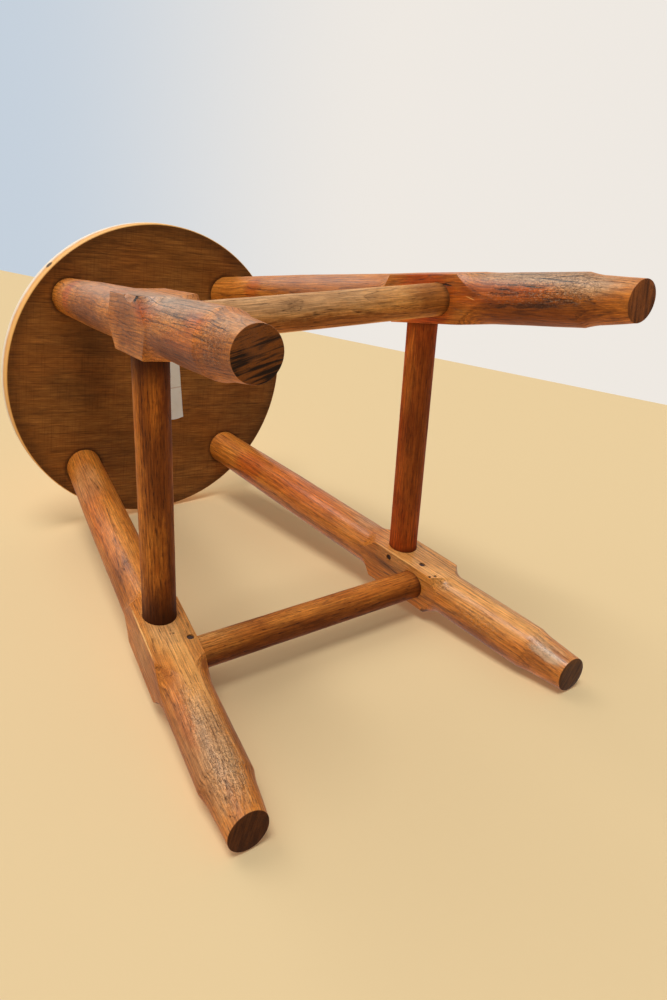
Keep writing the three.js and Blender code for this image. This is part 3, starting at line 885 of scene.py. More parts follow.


# What each piece of wood looks like. Bearings are in degrees round the piece, and places along it
# and sizes are in millimetres. A spot is a bearing, a place, a half width round the piece and a
# half length along it.
#   form      the lower shoulder's height, how far the neck is turned in, the shoulders' hollowness
#   coat      the varnish's weight and roughness
#   base      the wood colours that a stretcher starts from; a leg starts from orange
#   grain     the piece's own values for "aged oak"
#   tones     patches of other wood colours, some partly painted light on the lit side: their name, a spot, a strength and a raggedness
#   marks     a stain, scratch, crack or painted highlight: a colour's name, a spot, a slant, a
#             raggedness, a strength and a depth
#   crazing   where the varnish is crazed: a spot and a strength
#   varnish   where the varnish is thicker: a spot and the weight that is added
#   chips     where an arris is broken: a bearing, a reach from the axis, a place and three sizes
#   end       the foot's sawn end: the bearing and values of its stripes, its pale and deep colour
#   soot_and_shade  how far the dirt and painted shade at a stretcher's holes reach, and their
#   strength

LEG_LOOKS = {
    "back_right": {
        "form": (22.0, 0.5, 3.0),
        "coat": (0.12, 0.3),
        "grain": {"Pith": (25.0, 56.0, 0.0), "Ring_Width": 2.7, "Seed": 1.0, "Streaks": 0.5,
                  "Turning": 0.6, "Rings": 0.5},
        "tones": [
            # The tan patches on the top, at bearings 62 to 78, are weathered wood partly painted with
            # a pale sheen
            ("tan", 78, 90, 10, 70, 0.4, 1.5), ("tan", 66, 12, 12, 24, 0.4, 1.5),
            ("brown", 0, 172, 30, 40, 0.7, 0.5), ("brown", 40, 300, 18, 80, 0.3, 1.5),
            ("rust", 32, 126, 11, 30, 0.9, 2.5), ("rust", 36, 50, 9, 24, 0.9, 2.5),
            ("rust", 20, 388, 26, 26, 0.8, 1.5), ("brown", -26, 80, 18, 90, 1, 2),
            ("brown", -6, 14, 20, 26, 0.7, 2), ("rust", 60, 200, 8, 20, 0.4, 2.5),
            ("brown", -16, 310, 18, 120, 0.9, 2), ("orange", 22, 84, 10, 60, 0.9, 2),
            ("rust", 8, 60, 9, 50, 0.4, 2.5), ("tan", 62, 110, 13, 110, 0.55, 1.5)],
        "marks": [
            ("dirt", 55, 112, 0.32, 34, 0.02, 0.6, 0.85, 3),
            ("dirt", 66, 66, 0.32, 40, 0, 0.6, 0.85, 3),
            ("dirt", 40, 78, 0.3, 44, 0.02, 0.6, 0.85, 3),
            ("dirt", 29, 56, 0.28, 34, -0.02, 0.7, 0.8, 2),
            ("dirt", 82, 92, 0.3, 40, 0, 0.7, 0.8, 2),
            ("dirt", 45, 20, 0.28, 16, 0.05, 0.8, 0.8, 2),
            ("line", 16, 30, 0.4, 16, 0.1, 0.8, 0.6, 1), ("dirt", 46, 146, 2.8, 8, 0, 1.2, 0.97, 4),
            ("line", 2, 178, 0.45, 22, 0.08, 0.5, 0.5, 1),
            ("line", -14, 168, 0.4, 18, 0.05, 0.5, 0.5, 1),
            ("line", 20, 112, 0.5, 26, -0.05, 1, 0.5, 1)],
        "crazing": [(40, 90, 22, 60, 0.4), (20, 20, 20, 24, 0.4)],
        "varnish": [(64, 220, 18, 320, 0.85)],
        "chips": [
            (45, 28, 154, (4.4, 4.8, 17)), (45, 26.2, 144.5, (3.6, 3.6, 7)),
            (54, 24.6, 143, (2.4, 2, 4)), (134, 28.4, 142, (2.8, 2.6, 3.8))],
        "end": (167, {"Spacing": 1.7, "Share": 0.4, "Slope": 0.007, "Sharp": 0.6, "Seed": 3.0},
                (0.27, 0.082, 0.014), (0.034, 0.014, 0.007)),
    },
    "back_left": {
        "form": (29.0, 0.0, 3.0),
        "coat": (0.18, 0.36),
        "grain": {"Pith": (-60.0, 18.0, 0.0), "Ring_Width": 2.4, "Seed": 2.0, "Streaks": 0.6,
                  "Turning": 0.2, "Rings": 0.5},
        "tones": [
            ("rust", 0, 172, 60, 40, 1, 0.3), ("rust", 12, 100, 16, 76, 0.85, 2),
            ("tan", 62, 66, 13, 84, 0.9, 2.5), ("tan", 34, 34, 11, 34, 0.7, 2.5),
            ("brown", -38, 70, 20, 90, 1, 1), ("rust", 20, 395, 22, 16, 0.6, 1),
            ("brown", 34, 305, 20, 130, 0.5, 1.5), ("brown", 22, 112, 9, 34, 0.45, 2.5),
            ("brown", -4, 52, 12, 40, 0.5, 2)],
        "marks": [
            ("dirt", 30, 148, 0.6, 5.5, 0.12, 0.5, 0.95, 3),
            ("dirt", 62, 134, 0.5, 18, -0.25, 0.6, 0.9, 3),
            ("dirt", 30, 73, 0.7, 12, 0.1, 0.7, 0.9, 3),
            ("dirt", 24, 98, 0.6, 9, 0.1, 0.8, 0.85, 3),
            ("dirt", 52, 66, 0.6, 16, 0.08, 1.2, 0.8, 3),
            ("dirt", 60, 50, 0.6, 14, -0.1, 1.2, 0.8, 3),
            ("dirt", 44, 48, 0.5, 12, 0.1, 1.2, 0.8, 3), ("dirt", 12, 96, 1.4, 16, 0, 2.6, 0.6, 3),
            ("dirt", -12, 80, 1.6, 34, 0, 3, 0.6, 2), ("edge", 4, 126, 0.45, 5, 0.35, 0.4, 0.8, 0),
            ("dirt", 2, 50, 1.2, 16, 0.1, 3, 0.55, 2), ("dirt", 36, 90, 0.5, 20, 0, 2, 0.7, 2),
            ("dirt", 70, 84, 0.5, 24, 0.05, 2, 0.7, 2)],
        "crazing": [(60, 84, 14, 70, 0.6), (34, 50, 16, 40, 0.5), (10, 70, 10, 60, 0.4)],
        "varnish": [(36, 310, 18, 130, 0.8), (52, 90, 14, 90, 0.6)],
        "chips": [],
        "end": (-98, {"Spacing": 3.2, "Share": 0.42, "Sharp": 0.1, "Seed": 6.0}, (0.38, 0.12, 0.03),
                (0.13, 0.04, 0.012)),
    },
    "front_right": {
        "form": (28.0, 0.0, 3.0),
        "coat": (0.15, 0.3),
        "grain": {"Pith": (34.0, 48.0, 0.0), "Ring_Width": 2.6, "Seed": 3.0, "Streaks": 0.35,
                  "Turning": 0.3, "Rings": 0.4},
        "tones": [
            # The honey patches at bearings 74 to 96, on the top, are partly painted light: paler
            # where the leg faces the lamps
            ("honey", 96, 110, 14, 110, 0.8, 1.5), ("honey", 74, 300, 12, 90, 0.35, 1.5),
            ("rust", 50, 330, 16, 110, 0.4, 1.5), ("brown", 66, 262, 5, 14, 0.6, 1.5),
            ("brown", 30, 250, 16, 70, 0.6, 1.5), ("brown", 8, 165, 30, 48, 0.6, 0.8),
            ("tan", 38, 55, 15, 80, 0.6, 2), ("tan", 60, 405, 20, 50, 0.35, 2),
            ("tan", 84, 55, 15, 64, 0.7, 2.5), ("rust", 42, 90, 8, 40, 0.4, 2),
            ("brown", 8, 90, 14, 100, 0.5, 1), ("brown", 140, 60, 8, 50, 0.6, 2),
            ("honey", 90, 168, 34, 46, 0.7, 0.8), ("honey", 0, 170, 20, 40, 0.4, 0.5),
            ("tan", 84, 176, 16, 34, 0.35, 1.2)],
        "marks": [
            ("edge", 45, 172, 0.8, 36, 0, 0.25, 0.75, 0),
            ("dirt", 100, 166, 0.8, 1, 0, 0.5, 0.8, 2), ("dirt", 92, 166, 0.5, 0.7, 0, 0.5, 0.7, 2),
            ("dirt", 96, 170, 0.5, 0.6, 0, 0.5, 0.7, 2),
            ("brown", 136, 131, 3, 6, 0, 1.2, 0.8, 0.5),
            ("line", -45, 134, 2.5, 3, 0, 0.8, 0.8, 0.5),
            ("honey", 110, 130, 1.4, 50, -0.03, 0.6, 0.6, 0),
            ("brown", 50, 124, 3, 12, 0, 1.2, 0.5, 0)],
        "crazing": [(74, 80, 15, 56, 0.34), (80, 30, 20, 30, 0.42), (110, 60, 8, 50, 0.25)],
        "varnish": [(58, 290, 14, 90, 0.4)],
        "chips": [(-44, 28.2, 135, (1.9, 1.9, 2.4))],
        "end": (-76, {"Spacing": 1.6, "Sharp": 0.1, "Seed": 9.0}, (0.16, 0.046, 0.009),
                (0.085, 0.024, 0.005)),
    },
    "front_left": {
        "form": (14.0, 0.3, 2.6),
        "coat": (0.55, 0.27),
        "grain": {"Pith": (-40.0, 30.0, 0.0), "Ring_Width": 3.2, "Seed": 4.0, "Streaks": 0.4,
                  "Turning": 0.15, "Rings": 0.45},
        "tones": [
            # The honey patches on the top, at bearings 84 to 92, are partly painted light: paler
            # where the leg faces the lamps
            ("honey", 84, 100, 26, 120, 0.9, 1), ("honey", 92, 168, 40, 56, 1, 0.5),
            ("brown", 12, 24, 12, 22, 0.5, 2), ("brown", -24, 80, 12, 70, 0.7, 1.5),
            ("rust", 62, 330, 22, 100, 0.6, 1.5), ("rust", 30, 400, 26, 30, 0.7, 1),
            ("tan", 60, 14, 12, 14, 0.5, 2.5), ("tan", 88, 236, 12, 20, 0.45, 1.5),
            # The tan patch at bearing 66 low on the ankle is a painted highlight
            ("brown", 10, 200, 12, 40, 0.45, 1), ("tan", 66, 26, 9, 20, 0.6, 2)],
        "marks": [
            ("edge", 46, 180, 0.8, 30, 0, 0.25, 0.7, 0),
            ("dirt", 47, 141, 1.2, 1.4, 0, 0.5, 0.9, 2),
            ("dirt", 56, 139, 1.2, 1.2, 0, 0.5, 0.9, 2), ("dirt", 60, 24, 0.5, 1.4, 0, 0.5, 0.7, 2),
            ("dirt", 52, 18, 0.5, 1.4, 0, 0.5, 0.7, 2),
            ("line", 100, 90, 0.5, 44, 0.03, 0.5, 0.7, 0.5),
            ("line", 112, 110, 0.5, 54, 0.03, 0.5, 0.7, 0.5),
            ("line", 84, 110, 0.5, 40, 0.04, 0.5, 0.6, 0.5),
            ("line", 6, 172, 1, 34, 0.1, 1, 0.6, 0.5), ("dirt", -44, 139, 3, 4, 0, 0.8, 0.7, 1),
            ("line", 122, 150, 0.5, 60, 0.02, 0.5, 0.6, 0.5),
            # The flake patch at bearing 46 low on the ankle is a painted highlight over pale
            # scratched wood
            ("brown", 70, 12, 2.5, 10, 0.1, 3, 0.6, 1), ("flake", 46, 22, 5, 18, 0, 3, 0.6, 0)],
        "chips": [
            (47, 27.6, 140.5, (2.2, 2.2, 2.4)), (57, 23.6, 138.6, (1.7, 1.7, 2)),
            (133, 27.6, 139.5, (2.2, 2.2, 2.6))],
        "crazing": [(52, 128, 6, 10, 0.6), (54, 28, 12, 14, 0.35), (20, 84, 12, 40, 0.3)],
        "varnish": [],
        "end": (-58, {"Spacing": 2.0, "Sharp": 0.1, "Seed": 12.0}, (0.22, 0.085, 0.022),
                (0.1, 0.036, 0.01)),
    },
}

ROD_LOOKS = {
    "right": {
        "base": "brown",
        # Its wider bands also paint the shadow that the back right leg casts on it
        "soot_and_shade": (34, 0.85),
        "grain": {"Pith": (16.0, 22.0, 0.0), "Seed": 31.0, "Pores": 1.0},
        "tones": [
            ("orange", 92, 150, 8, 150, 0.8, 1), ("orange", 150, 80, 13, 44, 0.7, 2),
            ("orange", 156, 195, 10, 34, 0.7, 2), ("orange", 236, 110, 5, 90, 0.6, 2)],
    },
    "left": {
        "base": "rust",
        "soot_and_shade": (5, 0.55),
        "grain": {"Pith": (-20.0, 24.0, 0.0), "Seed": 32.0, "Pores": 0.8},
        "tones": [("brown", 150, 150, 22, 170, 0.75, 1.5), ("orange", 100, 190, 7, 60, 0.4, 1.5)],
    },
    "front": {
        "base": "brown",
        "soot_and_shade": (5, 0.55),
        "grain": {"Pith": (22.0, -18.0, 0.0), "Seed": 33.0, "Pores": 1.0},
        "tones": [
            ("honey", -112, 240, 16, 60, 0.9, 2), ("orange", -132, 215, 10, 60, 0.7, 2),
            ("orange", -112, 60, 16, 60, 0.9, 2), ("orange", -104, 140, 13, 90, 0.75, 2)],
    },
    "back": {
        "base": "honey",
        "soot_and_shade": (5, 0.55),
        "grain": {"Pith": (24.0, 12.0, 0.0), "Seed": 34.0, "Pores": 0.8, "Blotches": 0.5,
                  "Streaks": 0.5},
        "tones": [
            ("tan", -120, 170, 22, 160, 0.75, 2), ("brown", 148, 140, 10, 150, 0.8, 1.5),
            ("brown", -150, 34, 30, 34, 0.75, 2)],
    },
}

ROD_GRAIN = {"Ring_Width": 2.3, "Wander": 3.0, "Rings": 0.4, "Pore_Length": 6.0, "Blotches": 0.8,
             "Streaks": 0.6, "Turning": 0.15}

# What is added to a mask's number in its list, so that no two lists share their noise
TONE_SEED, MARK_SEED, CRAZE_SEED, VARNISH_SEED = 40.0, 60.0, 90.0, 110.0


def wood_look(name, place, paint, base, tones, gloss=0.4, **grain):
    """A material of aged oak with its regional tones."""
    look = Look(name, place, getattr(paint, f"{base}_pale"), getattr(paint, f"{base}_deep"))
    for index, (kind, *spot, strength, ragged) in enumerate(tones):
        mask = look.mark(*spot, TONE_SEED + index, ragged) * strength
        look.tone(mask, getattr(paint, f"{kind}_pale"), getattr(paint, f"{kind}_deep"))
    look.grain(gloss, Line=paint.line, **grain)
    return look


def colour_named(paint, kind):
    return getattr(paint, kind, None) or getattr(paint, f"{kind}_pale")


# Operators

class StoolOperator:
    """What the stool's operators share."""
    bl_options = {"REGISTER", "UNDO"}


class STOOL_OT_seat(StoolOperator, bpy.types.Operator):
    """Turn the seat, with a blind socket for each leg's head"""
    bl_idname = "stool.seat"
    bl_label = "Seat"
    grain_bearing = 6
    # Dark patches under the seat, partly stain and partly painted shadow of the back right leg: a
    # place in metres, a reach in millimetres and a strength
    stains = ((0.056, 0.050, 44.0, 0.5), (0.068, 0.004, 30.0, 0.35), (-0.02, 0.04, 30.0, 0.25))
    # A black dent in the rim
    dent = (96 * MM, 119 * MM, 462 * MM)

    def execute(self, context):
        scene = context.scene
        sizes, gap, legs = scene.stool_seat, scene.stool_rod.clearance, scene.stool_leg
        centre = (SEAT_LOW + SEAT_HIGH) / 2
        radius = (SEAT_HIGH.x - SEAT_LOW.x) / 2
        thickness = SEAT_HIGH.z - UNDERSIDE
        place = Matrix.Translation((centre.x, centre.y, UNDERSIDE))
        heads = [leg_frame(leg) for leg in LEGS]
        roots = [head @ Vector((0, 0, top - legs.head_depth)) for head, top in heads]
        material = self.look(scene.stool_finish, place, radius / MM, thickness / MM, roots)
        mesh = turned_mesh("seat_disc", seat_rows(sizes, radius, thickness), place,
                           Columns=sizes.columns, Unevenness=sizes.unevenness,
                           Unevenness_Length=24 * MM, Seed=4.0, Material=material)
        sockets = [rod_mesh(legs.head_radius + gap, top - 3 * legs.head_depth, top + gap, head)
                   for head, top in heads]
        piece("seat_disc", cut(mesh, sockets), "seat_oak", "seat")
        return {"FINISHED"}

    def look(self, paint, place, radius, thickness, roots):
        """Oak whose grain lies across the seat, dirty below with painted shadow and shade, and worn
        with a painted highlight on the rim.
        """
        lying = Matrix(((0, 0, 1, 0), (1, 0, 0, 0), (0, 1, 0, 0), (0, 0, 0, 1)))
        board = place @ Matrix.Rotation(math.radians(self.grain_bearing), 4, "Z") @ lying
        look = Look("seat oak", board, paint.seat_pale, paint.seat_deep)
        net = look.net
        across, up, along = net.split(look.place)
        out = (across * across + along * along) ** 0.5
        ragged = net.noise(look.place, (9, 9, 9), 3.0, 0.6, 2.0) - 0.5
        below = net.step(up, 2.0, 0.5)
        rim = net.step(out, radius - 1.2, radius - 0.3)

        def patch(spot, fray, reach, core, strength):
            """A ragged patch round a spot of the stool, which is whole inside its core."""
            return net.step(look.away_from(spot) + ragged * fray, reach, core, 0.0, strength)

        on_top = net.step(up, thickness - 1.5, thickness - 0.5)
        look.tone(on_top, paint.orange_pale, paint.orange_deep)
        warm = net.step(net.noise(look.place, (60, 60, 90), 2.0, 0.5, 8.0), 0.42, 0.62)
        look.tone(warm * 0.5, paint.seat_warm_pale, paint.seat_warm_deep)
        look.grain(0.5, Pith=(22.0, -160.0, 0.0), Ring_Width=4.4, Wander=7.0, Line=paint.line,
                   Rings=0.25, Pores=0.4, Pore_Length=11.0, Blotches=0.7, Streaks=0.45,
                   Turning=0.0, Seed=11.0)
        saw = net.noise(look.place, (40.0, 30.0, 1.3), 2.0, 0.5, 21.0)
        look.paint(net.step(saw, 0.5, 0.7) * below * 0.22, paint.line)
        year = net.noise(look.place, (1.1, 40.0, 150.0), 2.0, 0.6, 25.0)
        look.paint(net.step(year, 0.5, 0.66) * below * 0.38, paint.line, 0.3)
        worn_top = net.step(out + ragged * 60.0, 40.0, 130.0, 0.5, 0.0)
        worn_top = worn_top * net.step(up, thickness - 1.5, thickness)
        look.paint(worn_top, paint.honey_pale, rough=0.15)
        edge_dirt = net.step(out + ragged * 8.0, radius - 16.0, radius - 1.0) * below
        look.paint(edge_dirt * 0.45, paint.line)
        # Dark rings round the legs' roots: dirt, and painted shade where the legs go into the seat
        for root in roots:
            look.paint(patch(root, 6.0, 22.5, 17.0, 0.6) * below, paint.dirt, rough=0.2)
        # Dark patches, partly stain and partly the painted shadow of the back right leg
        for x, y, reach, strength in self.stains:
            stain = patch(Vector((x, y, UNDERSIDE)), 30.0, reach, reach * 0.3, strength)
            look.paint(stain * below, paint.line)
        honey = net.mix(net.step(ragged, -0.15, 0.2), paint.honey_deep, paint.honey_pale)
        look.paint(rim * 0.85, honey)
        look.paint(rim * net.step(up + ragged * 6.0, 15.0, 2.0), paint.edge)
        # The cream band on the rim's upper edge: worn wood with a painted highlight, where the
        # rounded edge catches the light
        rubbed_and_lit = net.step(up + ragged * 4.0, thickness - 12.0, thickness - 6.0) * rim
        look.paint(rubbed_and_lit * 0.92, paint.cream, rough=0.2)
        look.paint(patch(Vector(self.dent), 3.0, 4.5, 2.5, 0.9), paint.dirt, 0.5)
        return look.finish(0.3, coat=0.1)


class STOOL_OT_legs(StoolOperator, bpy.types.Operator):
    """Turn the four legs, with square blocks, sockets and nail holes"""
    bl_idname = "stool.legs"
    bl_label = "Legs"
    socket_depth = 38 * MM
    # The hole for a nail's head, from its floor to well outside the wood, and its facets
    head_hole, hole_columns = (-1.5 * MM, 9 * MM), 32
    # Where the sawn foot's look fades out, up from the floor
    foot_fade = (0.15 * MM, 0.6 * MM)

    def execute(self, context):
        scene = context.scene
        sizes, rods, nails = scene.stool_leg, scene.stool_rod, scene.stool_nail
        for leg in LEGS:
            place, top = leg_frame(leg)
            looks = LEG_LOOKS[leg]
            *form, power = looks["form"]
            right, back, up = place.to_3x3().col
            mesh = turned_mesh(
                f"leg_{leg}_turned", leg_rows(sizes, *form, 1 / up.z, top), place,
                Columns=sizes.columns, Block_Half_Width=sizes.block_half,
                Corner_Radius=sizes.corner_radius, Shoulder_Power=power, Gather=0.6,
                Lean=(-right.z / up.z, -back.z / up.z, 0.0), Waver=sizes.waver,
                Unevenness=sizes.unevenness, Unevenness_Length=16 * MM,
                Seed=looks["grain"]["Seed"], Material=self.look(leg, place, scene.stool_finish))
            cutters = [self.socket(rods, name, leg) for name in leg.split("_")]
            for kind in ("side", "cross"):
                nail = nail_frame(leg, kind)
                cutters += [rod_mesh(radius + rods.clearance, *hole, nail, self.hole_columns)
                            for radius, hole in ((nails.head_radius, self.head_hole),
                                                 (nails.radius, (-nails.length, 0.0)))]
            cutters += [self.chip(place, *chip, seed) for seed, chip in enumerate(looks["chips"])]
            piece(f"leg_{leg}_turned", cut(mesh, cutters), "leg_oak", f"leg_{leg}")
        return {"FINISHED"}

    def look(self, leg, place, paint):
        looks = LEG_LOOKS[leg]
        look = wood_look(f"leg oak {leg.replace('_', ' ')}", place, paint, "orange", looks["tones"],
                         Wander=4.0, Pores=0.75, Pore_Length=8.0, Blotches=0.6, **looks["grain"])
        net = look.net
        for index, (kind, *spot, slant, ragged, strength, depth) in enumerate(looks["marks"]):
            mask = look.mark(*spot, MARK_SEED + index, ragged, slant, soft=0.4) * strength
            look.paint(mask, colour_named(paint, kind), depth, 0.1)
        crazed = net.group("crazed varnish", Place=look.place, Seed=looks["grain"]["Seed"])
        for index, (*spot, strength) in enumerate(looks["crazing"]):
            mask = look.mark(*spot, CRAZE_SEED + index, ragged=2.0) * strength
            look.paint(net.out(crazed, "Flakes") * mask * 0.6, paint.flake, rough=0.1)
            look.paint(net.out(crazed, "Lines") * mask, paint.line, 1.6, 0.1)
        _, _, upright = net.split(look.spot)
        bearing, stripes, pale, deep = looks["end"]
        sawn = net.group("end grain", Place=look.place, Bearing=math.radians(bearing), **stripes)
        color = net.mix(net.out(sawn, "Stripes"), pale, deep)
        color = net.mix(net.step(net.out(sawn, "Fine"), 0.5, 0.75) * 0.6, color, paint.dirt)
        look.paint(net.step(upright, *self.foot_fade, 1.0, 0.0), color, rough=0.25)
        coat, coat_rough = looks["coat"]
        for index, (*spot, more) in enumerate(looks["varnish"]):
            coat = coat + look.mark(*spot, VARNISH_SEED + index) * more
        return look.finish(0.45, coat, coat_rough)

    def socket(self, rods, name, leg):
        """A cutter for the end of a stretcher that goes into the leg."""
        place, length = stretcher_frame(name)
        near_end = leg.endswith("left") if name in ("front", "back") else leg.startswith("front")
        gap, depth = rods.clearance, self.socket_depth
        low, high = (-gap, depth) if near_end else (length - depth, length + gap)
        return rod_mesh(rods.radius + gap, low, high, place)

    def chip(self, place, bearing, reach, height, size_, seed):
        """A cutter that breaks the block's arris."""
        turn = math.radians(bearing)
        spot = Vector((reach * math.cos(turn), reach * math.sin(turn), height)) * MM
        stone = stone_mesh(spot, Vector(size_) * MM, Matrix.Rotation(turn, 4, "Z"), seed)
        stone.transform(place)
        return stone


class STOOL_OT_stretchers(StoolOperator, bpy.types.Operator):
    """Make the four round stretchers"""
    bl_idname = "stool.stretchers"
    bl_label = "Stretchers"

    def execute(self, context):
        sizes, paint = context.scene.stool_rod, context.scene.stool_finish
        for seed, (name, looks) in enumerate(ROD_LOOKS.items(), 20):
            place, length = stretcher_frame(name)
            look = wood_look(f"stretcher oak {name}", place, paint, looks["base"], looks["tones"],
                             0.5, **{**ROD_GRAIN, **looks["grain"]})
            net = look.net
            _, _, along = net.split(look.place)
            mouth, far = sizes.mouth / MM, (length - sizes.mouth) / MM
            # Darker bands by the holes: dirt, and painted shade where the stretcher goes into the
            # legs
            reach, strength = looks["soot_and_shade"]
            soot_and_shade = (net.step(along, mouth + reach, mouth - 1.0)
                    + net.step(along, far - reach, far + 1.0))
            look.paint(soot_and_shade * strength, paint.line, rough=0.1)
            mesh = turned_mesh(f"stretcher_{name}_round", rod_rows(sizes, length), place,
                               Columns=sizes.columns, Unevenness=sizes.unevenness,
                               Unevenness_Length=20 * MM, Seed=float(seed),
                               Material=look.finish(0.35))
            piece(f"stretcher_{name}_round", mesh, "stretcher_oak", f"stretcher_{name}")
        return {"FINISHED"}


class STOOL_OT_nails(StoolOperator, bpy.types.Operator):
    """Drive the eight nails that lock the stretchers"""
    bl_idname = "stool.nails"
    bl_label = "Nails"

    def execute(self, context):
        sizes, paint = context.scene.stool_nail, context.scene.stool_finish
        look = Look("nail iron", Matrix.Identity(4), paint.iron, paint.iron)
        net = look.net
        rust = net.step(net.noise(look.place, (0.9, 0.9, 0.9), 3.0, 0.6, 2.0), 0.35, 0.7)
        look.color = net.mix(rust, paint.iron, paint.iron_rust)
        look.height = net.noise(look.place, (0.5, 0.5, 0.5), 3.0, 0.6, 5.0)
        look.rough = rust * 0.25 + 0.55
        source = link("nail_form", turned_mesh("nail_form", nail_rows(sizes), Matrix.Identity(4),
                                               Columns=24, Unevenness=0.0))
        places = [nail_frame(leg, kind) for leg, kind in NAILS]
        points = bpy.data.meshes.new("nails")
        points.from_pydata([place.translation for place in places], [], [])
        turns = points.attributes.new(TURN, "QUATERNION", "POINT")
        turns.data.foreach_set("value", [v for place in places for v in place.to_quaternion()])
        mesh = through_nodes(points, group_named("driven nails"), Nail=source,
                             Material=look.finish(0.15))
        drop(source)
        piece("nails_driven", mesh, "nail_iron", *(f"nail_{leg}_{kind}" for leg, kind in NAILS))
        return {"FINISHED"}


class STOOL_OT_label(StoolOperator, bpy.types.Operator):
    """Stick a blank paper label under the seat"""
    bl_idname = "stool.label"
    bl_label = "Label"
    # The label's middle, how far it hangs below the seat and how it is turned, in degrees
    middle, gap, turn = (-12.5 * MM, -13.0 * MM), 0.12 * MM, -2.8

    def execute(self, context):
        paint = context.scene.stool_finish
        place = (Matrix.Translation((*self.middle, UNDERSIDE - self.gap))
                 @ Matrix.Rotation(math.radians(self.turn), 4, "Z"))
        look = Look("label paper", place, paint.paper, paint.paper)
        net = look.net
        _, along, _ = net.split(look.place)
        stain = net.step(net.noise(look.place, (8, 8, 8), 3.0, 0.6, 4.0), 0.5, 0.8)
        fold = net.step(abs(along - 2.0), 0.9, 0.2)
        look.color = net.mix(stain * 0.2, paint.paper, paint.tan_pale)
        look.height = net.noise(look.place, (2, 2, 2), 2.0, 0.5, 1.0)
        look.rough = fold * 0.1 + 0.8
        look.paint(fold * 0.35, paint.brown_pale)
        mesh = self.sheet(context.scene.stool_label)
        mesh.materials.append(look.finish(0.1))
        mesh.transform(place)
        piece("paper_label", outward(mesh), None, sharp=40)
        return {"FINISHED"}

    def sheet(self, sizes):
        """A wavy sheet with a torn lower edge, hanging below its own zero height."""
        dice = np.random.default_rng(7)
        columns, rows = 18, 34
        torn = dice.uniform(-0.6, 0.6, columns + 1).cumsum() * MM
        points = []
        for layer in (0.0, sizes.thickness):
            for j in range(rows + 1):
                v = j / rows
                for i in range(columns + 1):
                    u = i / columns
                    x = (0.5 - u) * sizes.width
                    y = (0.5 - v) * sizes.length + torn[i] * v ** 8
                    wave = 0.5 + 0.5 * math.sin(9 * v + 2 * u) * math.cos(4 * u - 5 * v)
                    curl = max(0.0, u - 0.75) * 2.2 + max(0.0, v - 0.85) * 2.4
                    points.append((x, y, -layer - sizes.lift * (0.35 * wave + curl * curl)))
        half = (columns + 1) * (rows + 1)

        def at(i, j):
            return j * (columns + 1) + i

        faces = []
        for j in range(rows):
            for i in range(columns):
                quad = (at(i, j), at(i + 1, j), at(i + 1, j + 1), at(i, j + 1))
                faces += [quad, tuple(half + k for k in reversed(quad))]
        border = [*(at(i, 0) for i in range(columns)), *(at(columns, j) for j in range(rows)),
                  *(at(i, rows) for i in range(columns, 0, -1)),
                  *(at(0, j) for j in range(rows, 0, -1))]
        faces += [(a, half + a, half + b, b) for a, b in zip(border, border[1:] + border[:1])]
        mesh = bpy.data.meshes.new("paper_label")
        mesh.from_pydata(points, [], faces)
        return mesh


